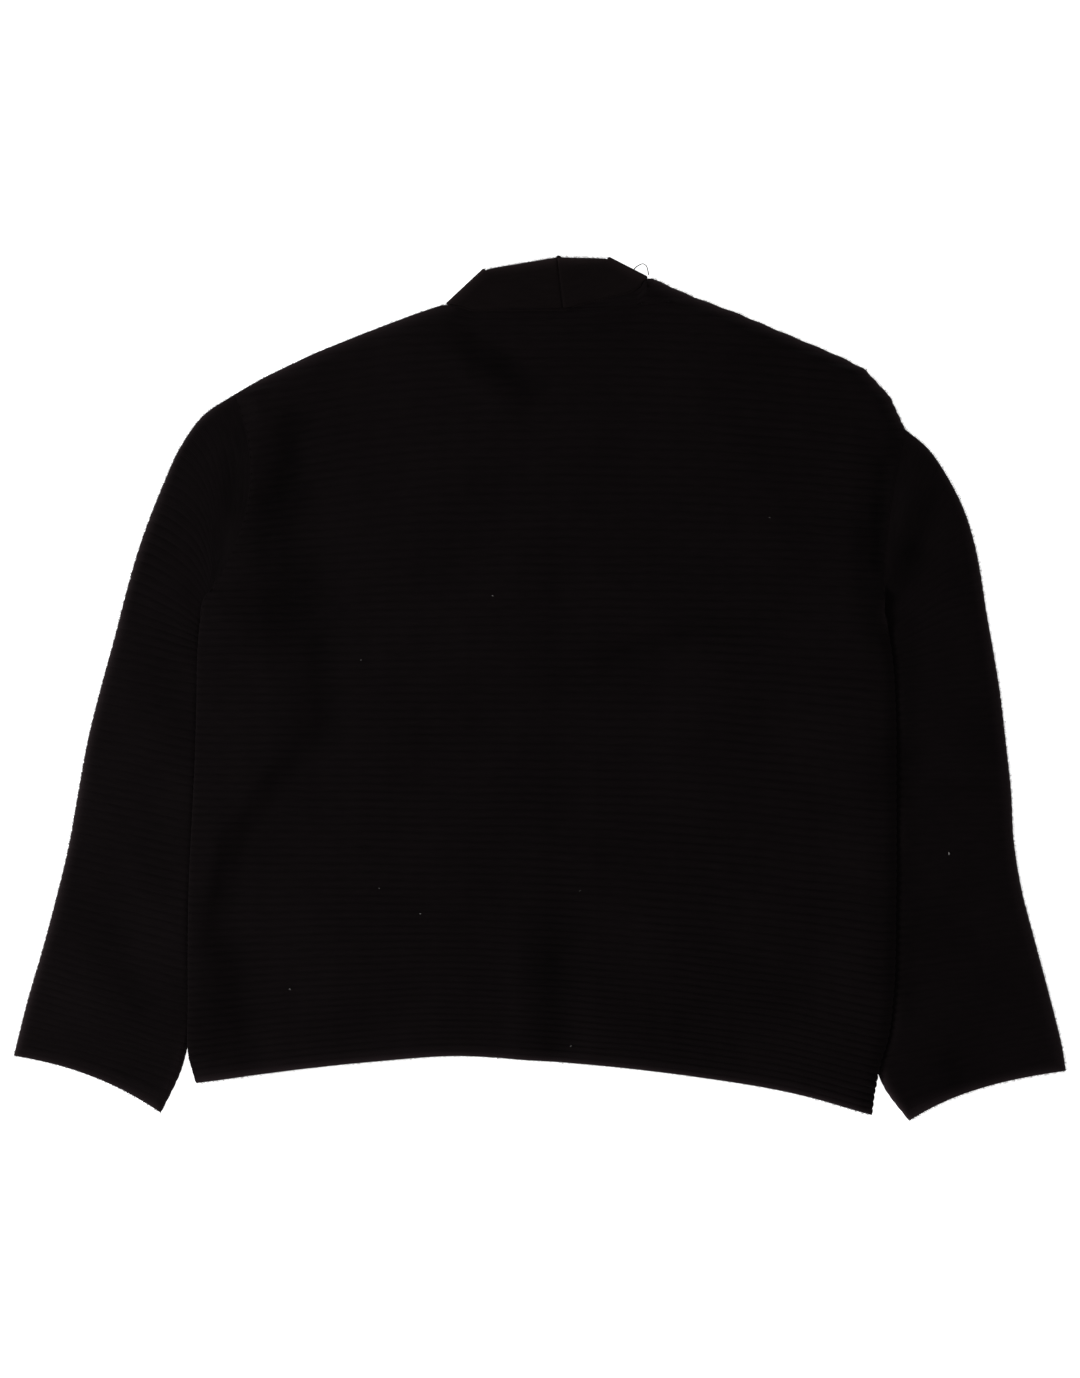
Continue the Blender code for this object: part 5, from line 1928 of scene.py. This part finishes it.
def tone_group() -> NodeTree:
    """The yarn's colour: its base times 1 + a gain times what lies above each value's middle. The rib, rim,
    crease and stitch values paint shade and a rim light into it.

    Returns:
        The group.
    """
    takes = {"Base": "NodeSocketColor"}
    takes |= {title: "NodeSocketFloat" for title in TONE_MIDDLES}
    takes |= {f"{title} Gain": "NodeSocketFloat" for title in TONE_MIDDLES}
    gives = {"Color": "NodeSocketColor", "Roughness": "NodeSocketFloat"}
    nodes, reads, fills = new_group("yarn_tone", takes, gives)
    total: Socket | float = 1.0
    for title, middle in TONE_MIDDLES.items():
        offset = nodes.maths("SUBTRACT", reads[title], middle)
        total = nodes.maths("ADD", nodes.maths("MULTIPLY", offset, reads[f"{title} Gain"]), total)
    held = nodes.maths("MAXIMUM", total, LEAST_TONE)
    grey = nodes.add("ShaderNodeCombineXYZ")
    for axis in range(3):
        nodes.feed(held, grey.inputs[axis])
    tinted = nodes.add("ShaderNodeVectorMath", operation="MULTIPLY")
    nodes.feed(reads["Base"], tinted.inputs[0])
    nodes.feed(grey.outputs[0], tinted.inputs[1])
    nodes.feed(tinted.outputs[0], fills["Color"])
    matte = nodes.maths("MULTIPLY", reads["Drift"], DRIFT_SHINE)
    nodes.feed(nodes.maths("SUBTRACT", KNIT_ROUGHNESS, matte), fills["Roughness"])
    return nodes.tree


@dataclass(frozen=True)
class YarnFinish:
    """A knitted black yarn: its colour, its stitches and its soft sheen."""

    name: str
    base: tuple[float, float, float]
    wale: float
    course: float
    bump: float
    # Gains of the painted shade in the rib valleys, the painted rim light, and the painted shade in the
    # creases and between the stitches; the drift and streaks are the yarn's own uneven tone
    ridge_gain: float
    rim_gain: float
    crease_gain: float = -0.50
    stitch_gain: float = 0.25
    drift_gain: float = 0.5
    streak_gain: float = 0.55
    sheen: float = 0.006
    specular: float = 0.03
    sheen_roughness: float = 0.55
    fuzz_share: float = 0.5
    fuzz_scale: float = 900.0
    drift_scale: float = 14.0

    def made(self, groups: dict[str, NodeTree]) -> Material:
        """Builds the material from the shared groups.

        Args:
            groups: the node groups by name.

        Returns:
            The material.
        """
        material, nodes, shader = new_material(self.name)
        cloth = nodes.add("ShaderNodeUVMap", uv_map="cloth")
        place = nodes.add("ShaderNodeTexCoord")
        stitch = nodes.add("ShaderNodeGroup", node_tree=groups["stitch"])
        nodes.feed(cloth.outputs["UV"], stitch.inputs["Cloth"])
        set_inputs(stitch, {"Wale": self.wale, "Course": self.course, "Lean": 1.0})
        fuzz = nodes.add("ShaderNodeGroup", node_tree=groups["fuzz"])
        nodes.feed(place.outputs["Object"], fuzz.inputs["Place"])
        nodes.feed(cloth.outputs["UV"], fuzz.inputs["Cloth"])
        set_inputs(fuzz, {"Fine": self.fuzz_scale, "Slow": self.drift_scale})
        tone = nodes.add("ShaderNodeGroup", node_tree=groups["tone"])
        tone.inputs["Base"].default_value = (*self.base, 1.0)
        # Painted shade in the rib valleys and the creases, and a painted rim light on the edges, read from
        # the mesh
        for title, attribute in (("Rib Shade", "rib"), ("Rim", "rim"), ("Crease", "crease")):
            reader = nodes.add("ShaderNodeAttribute", attribute_name=attribute)
            nodes.feed(reader.outputs["Fac"], tone.inputs[title])
        # Painted shade in the stitches' low parts, on top of their bump
        nodes.feed(stitch.outputs["Height"], tone.inputs["Stitch"])
        for title in ("Drift", "Streak"):
            nodes.feed(fuzz.outputs[title], tone.inputs[title])
        gains = {"Rib Shade": self.ridge_gain, "Rim": self.rim_gain, "Crease": self.crease_gain}
        gains |= {"Stitch": self.stitch_gain, "Drift": self.drift_gain, "Streak": self.streak_gain}
        set_inputs(tone, {f"{title} Gain": gain for title, gain in gains.items()})
        nodes.feed(tone.outputs["Color"], shader.inputs["Base Color"])
        nodes.feed(tone.outputs["Roughness"], shader.inputs["Roughness"])
        fibres = nodes.maths("MULTIPLY", fuzz.outputs["Fuzz"], self.fuzz_share)
        relief = nodes.maths("ADD", stitch.outputs["Height"], fibres)
        bump = nodes.add("ShaderNodeBump")
        set_inputs(bump, {"Strength": 1.0, "Distance": self.bump})
        nodes.feed(relief, bump.inputs["Height"])
        nodes.feed(bump.outputs["Normal"], shader.inputs["Normal"])
        set_inputs(shader, {"Metallic": 0.0, "Specular IOR Level": self.specular})
        set_inputs(shader, {"Sheen Weight": self.sheen, "Sheen Roughness": self.sheen_roughness})
        return material


@dataclass(frozen=True)
class LintFinish:
    """Pale fibre, between a dark grey and a light one."""

    name: str = "lint_white"
    noise_scale: float = 1500.0
    noise_detail: float = 2.0
    roughness: float = 0.9
    dark: tuple[float, float, float] = (0.12, 0.11, 0.105)
    light: tuple[float, float, float] = (0.32, 0.31, 0.30)

    def made(self) -> Material:
        """Builds the material: a pale grey that varies over each fibre.

        Returns:
            The material.
        """
        material, nodes, shader = new_material(self.name)
        place = nodes.add("ShaderNodeTexCoord")
        ramp = nodes.add("ShaderNodeValToRGB")
        drift = nodes.noise(place.outputs["Object"], self.noise_scale, self.noise_detail)
        nodes.feed(drift, ramp.inputs["Fac"])
        ramp.color_ramp.elements[0].color = (*self.dark, 1.0)
        ramp.color_ramp.elements[1].color = (*self.light, 1.0)
        nodes.feed(ramp.outputs["Color"], shader.inputs["Base Color"])
        shader.inputs["Roughness"].default_value = self.roughness
        return material


@dataclass(frozen=True)
class Studio:
    """A plain white floor, a soft overall light, one low soft key from the left, a camera."""

    floor_size: float = 30.0
    floor_drop: float = 0.0004
    floor_glow: float = 0.95
    floor_tone: float = 0.92
    floor_roughness: float = 0.9
    ambient: float = 0.40
    key_power: float = 72.0
    key_size: float = 0.9
    key_place: tuple[float, float, float] = (-2.4, -0.20, 1.18)
    camera_height: float = 2.2
    camera_sees: tuple[float, float] = (0.05, 50.0)
    photo_long_side: float = 1.0638
    sensor: float = 36.0

    def floor(self) -> None:
        """Makes the floor: one quad just below the surface that the garment lies on."""
        half = self.floor_size / 2
        mesh = bpy.data.meshes.new("floor")
        corners = [(-half, -half), (half, -half), (half, half), (-half, half)]
        mesh.from_pydata([(x, y, -self.floor_drop) for x, y in corners], [], [(0, 1, 2, 3)])
        material, _, shader = new_material("floor_white")
        set_inputs(shader, {"Base Color": (*[self.floor_tone] * 3, 1.0), "Roughness": self.floor_roughness})
        set_inputs(shader, {"Specular IOR Level": 0.0})
        set_inputs(shader, {"Emission Color": WHITE, "Emission Strength": self.floor_glow})
        mesh.materials.append(material)
        placed("floor", mesh)

    def light(self) -> None:
        """Sets the overall light and the key."""
        scene = bpy.context.scene
        world = bpy.data.worlds.new("soft_studio")
        world.use_nodes = True
        background = world.node_tree.nodes["Background"]
        set_inputs(background, {"Color": WHITE, "Strength": self.ambient})
        scene.world = world
        data = bpy.data.lights.new("key", "AREA")
        data.shape = "DISK"
        data.size = self.key_size
        data.energy = self.key_power
        lamp = placed("key", data)
        lamp.location = self.key_place
        lamp.rotation_mode = "QUATERNION"
        lamp.rotation_quaternion = lamp.location.to_track_quat("Z", "Y")

    def camera(self) -> None:
        """Makes the camera, which looks straight down with the neck at the top of the picture."""
        data = bpy.data.cameras.new("camera")
        data.sensor_fit = "AUTO"
        data.sensor_width = self.sensor
        data.lens = self.sensor * self.camera_height / self.photo_long_side
        data.clip_start, data.clip_end = self.camera_sees
        camera = placed("camera", data)
        camera.location = (0.0, 0.0, self.camera_height)
        bpy.context.scene.camera = camera

    def build(self) -> None:
        """Makes the whole studio, with colours shown as they are."""
        self.floor()
        self.light()
        self.camera()
        bpy.context.scene.view_settings.view_transform = "Standard"
        bpy.context.scene.view_settings.look = "None"


YARNS = {
    Slot.RIB_KNIT: YarnFinish(
        name="rib_knit_black",
        base=(0.0038, 0.00265, 0.0029),
        wale=0.0016,
        course=0.00124,
        bump=0.00018,
        ridge_gain=0.14,
        rim_gain=2.8,
    ),
    Slot.SMOOTH_KNIT: YarnFinish(
        name="smooth_knit_black",
        base=(0.0049, 0.0034, 0.0035),
        wale=0.0012,
        course=0.0010,
        bump=0.00012,
        ridge_gain=0.0,
        rim_gain=2.8,
    ),
}


@dataclass
class Cardigan:
    """The whole garment: builds its pieces in order, and hides the solids that each replaces.

    The seams' steps are how many of the edge's points a cord passes over from one to the next. The
    loose loop's yarn is its radius, the length and swell of its bumps, and its points' spacing.
    """

    armhole_out: float = 0.0002
    armhole_down: float = 0.0004
    armhole_step: int = 6
    side_step: int = 8
    shoulder_step: int = 4
    neck_step: int = 3
    neck_seam_height: float = 0.0042
    neck_seam_radius: float = 0.0009
    loop_yarn: tuple[float, float, float, float] = (0.00038, 0.001, 0.12, 0.0003)
    cuff_edge_drop: float = 0.0012
    band_edge_height: float = 0.00198

    def build(self) -> None:
        """Builds and dresses every piece."""
        groups = {"stitch": stitch_group(), "fuzz": fuzz_group(), "tone": tone_group()}
        self.yarns = {slot: yarn.made(groups) for slot, yarn in YARNS.items()}
        lint_white = LintFinish().made()

        left = SleevePlan(Side.LEFT, LEFT_SLEEVE, LEFT_SIDE, seam_rises=(0.55, 1.0))
        right = SleevePlan(Side.RIGHT, RIGHT_SLEEVE, RIGHT_SIDE, seam_rises=(0.0, 0.5), ramp=1.9)
        body = BodyPlan(left, right)
        back = BackPanel(body)
        neck = back.neck_line()
        fronts = (
            FrontPanel("front_left_knit", body, left, LEFT_FRONT_EDGE),
            FrontPanel("front_right_knit", body, right, RIGHT_FRONT_EDGE),
        )
        sleeves = (
            SleeveTube("sleeve_left_knit", left, LEFT_SLEEVE_FOLDS),
            SleeveTube(
                "sleeve_right_knit", right, RIGHT_SLEEVE_FOLDS, tuck_start=0.75, rib_share=0.5, edge_rim=1.9
            ),
        )
        joins = [front.seam for front in fronts]
        bands = (
            NeckAndFrontBand("band_left_knit", Side.LEFT, LEFT_FRONT_EDGE, joins[0], LEFT_FOLD, neck),
            NeckAndFrontBand(
                "band_right_knit", Side.RIGHT, RIGHT_FRONT_EDGE, joins[1], RIGHT_FOLD, neck, RIGHT_GROOVE
            ),
        )
        for panel in (back, *fronts, *sleeves):
            self.keep_panel(panel, Slot.RIB_KNIT)
        for band in bands:
            self.keep_panel(band, Slot.SMOOTH_KNIT)
        loose = LinkedSeam("thread_loop", np.array(LOOSE_THREAD), Slot.SMOOTH_KNIT, *self.loop_yarn)
        by_side = [*self.side_seams(back, left), *self.side_seams(back, right)]
        for seam in (*by_side, *self.neck_seams(neck), loose):
            self.keep(seam.build(self.yarns[seam.slot]), seam.slot)
        fibres = EdgeFibres("edge_fibres", self.outline(back, sleeves, bands))
        self.keep(fibres.build(self.yarns[Slot.SMOOTH_KNIT]))
        surfaces = [back.face, *(sleeve.outside for sleeve in sleeves)]
        self.keep(LintFibres("lint_fibres", surfaces).build(lint_white))
        self.declare()

    def keep_panel(self, panel: Piece, slot: Slot) -> None:
        """Builds a knitted panel in its yarn, in place of the solid that its name begins with."""
        obj = panel.build(self.yarns[slot])
        self.keep(obj, slot, obj.name.removesuffix("_knit"))

    @staticmethod
    def keep(obj: Object, slot: Slot | None = None, *stands_for: str) -> None:
        """Rides a piece on the one body and reports it.

        Args:
            obj: the piece.
            slot: the material slot it takes its finish from, if any; it is not used.
            stands_for: the solids that it replaces.
        """
        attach(obj, "root")
        if stands_for:
            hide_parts(*stands_for)
        triangles = sum(len(face.vertices) - 2 for face in obj.data.polygons)
        log.info("%s: %d triangles", obj.name, triangles)

    def outline(
        self,
        back: BackPanel,
        sleeves: tuple[SleeveTube, SleeveTube],
        bands: tuple[NeckAndFrontBand, NeckAndFrontBand],
    ) -> list[Array]:
        """The lines of the garment's outer edges, for the fibres that stand out from them.

        Args:
            back: the back panel.
            sleeves: the two sleeves.
            bands: the two halves of the band.

        Returns:
            A path of points for each edge.
        """
        middle = (back.face[..., 2] + back.underside)[..., None] / 2
        edge = np.concatenate([back.face[..., :2], middle], axis=-1)
        paths = [edge[-1]]
        for sleeve, column, corner in zip(sleeves, (0, -1), (NECK_LEFT, NECK_RIGHT)):
            line = edge[:, column]
            at_shoulder = (line[:, 1] > sleeve.plan.shoulder) & (abs(line[:, 0]) > abs(corner))
            paths.append(line[at_shoulder][::2])
            paths.append(sleeve.outside[::2, 0])
            paths.append(sleeve.outside[-1, sleeve.is_upper] - self.cuff_edge_drop * UP)
        for band in bands:
            paths.append(band.edge_line[band.edge_line[:, 2] > self.band_edge_height])
        return paths

    def side_seams(self, back: BackPanel, plan: SleevePlan) -> list[LinkedSeam]:
        """One side's seams, each a cord along the back's edge.

        Args:
            back: the back panel.
            plan: the plan of the sleeve on that side.

        Returns:
            The armhole's seam, the side's and the shoulder's.
        """
        is_left = plan.side is Side.LEFT
        column = 0 if is_left else -1
        edge, drop = back.face[:, column], CLOTH.free_lip
        seam_end = plan.underarm - CLOTH.underarm_seam
        sewn = (edge[:, 1] < plan.shoulder) & (edge[:, 1] > seam_end)
        armhole = edge[sewn] + [plan.side.value * self.armhole_out, 0.0, -self.armhole_down]
        level = np.column_stack([edge[:, :2], back.underside[:, column] - CLOTH.layer_gap / 2])
        level = level + [-plan.side.value * drop, 0.0, drop]
        beyond_neck = (edge[:, 0] < NECK_LEFT) if is_left else (edge[:, 0] > NECK_RIGHT)
        at_shoulder = (edge[:, 1] >= plan.shoulder) & beyond_neck
        cords = {
            "armhole": armhole[:: self.armhole_step],
            "side": level[edge[:, 1] <= seam_end][:: self.side_step],
            "shoulder": level[at_shoulder][:: self.shoulder_step],
        }
        title = plan.side.name.lower()
        return [LinkedSeam(f"{place}_seam_{title}", path) for place, path in cords.items()]

    def neck_seams(self, neck: Array) -> list[LinkedSeam]:
        """The seam along the back neck, and the band's own at the centre back with its knot.

        Args:
            neck: the back's edge along the neck.

        Returns:
            The two seams.
        """
        path = np.column_stack([neck, np.full(len(neck), self.neck_seam_height)])
        onwards = np.concatenate([[True], np.diff(neck[:, 0]) > 0.0])
        path = path[onwards][:: self.neck_step]
        return [
            LinkedSeam("neck_seam", path, Slot.SMOOTH_KNIT, radius=self.neck_seam_radius),
            LinkedSeam("centre_back_seam", np.array(CENTRE_SEAM), Slot.SMOOTH_KNIT, knot=CENTRE_KNOT),
        ]

    @staticmethod
    def declare() -> None:
        """Does nothing: no panel is declared here."""


def main() -> None:
    """Builds the studio and the garment."""
    logging.basicConfig(level=logging.INFO, format="%(name)s: %(message)s")
    Studio().build()
    Cardigan().build()


if __name__ == "__main__":
    main()
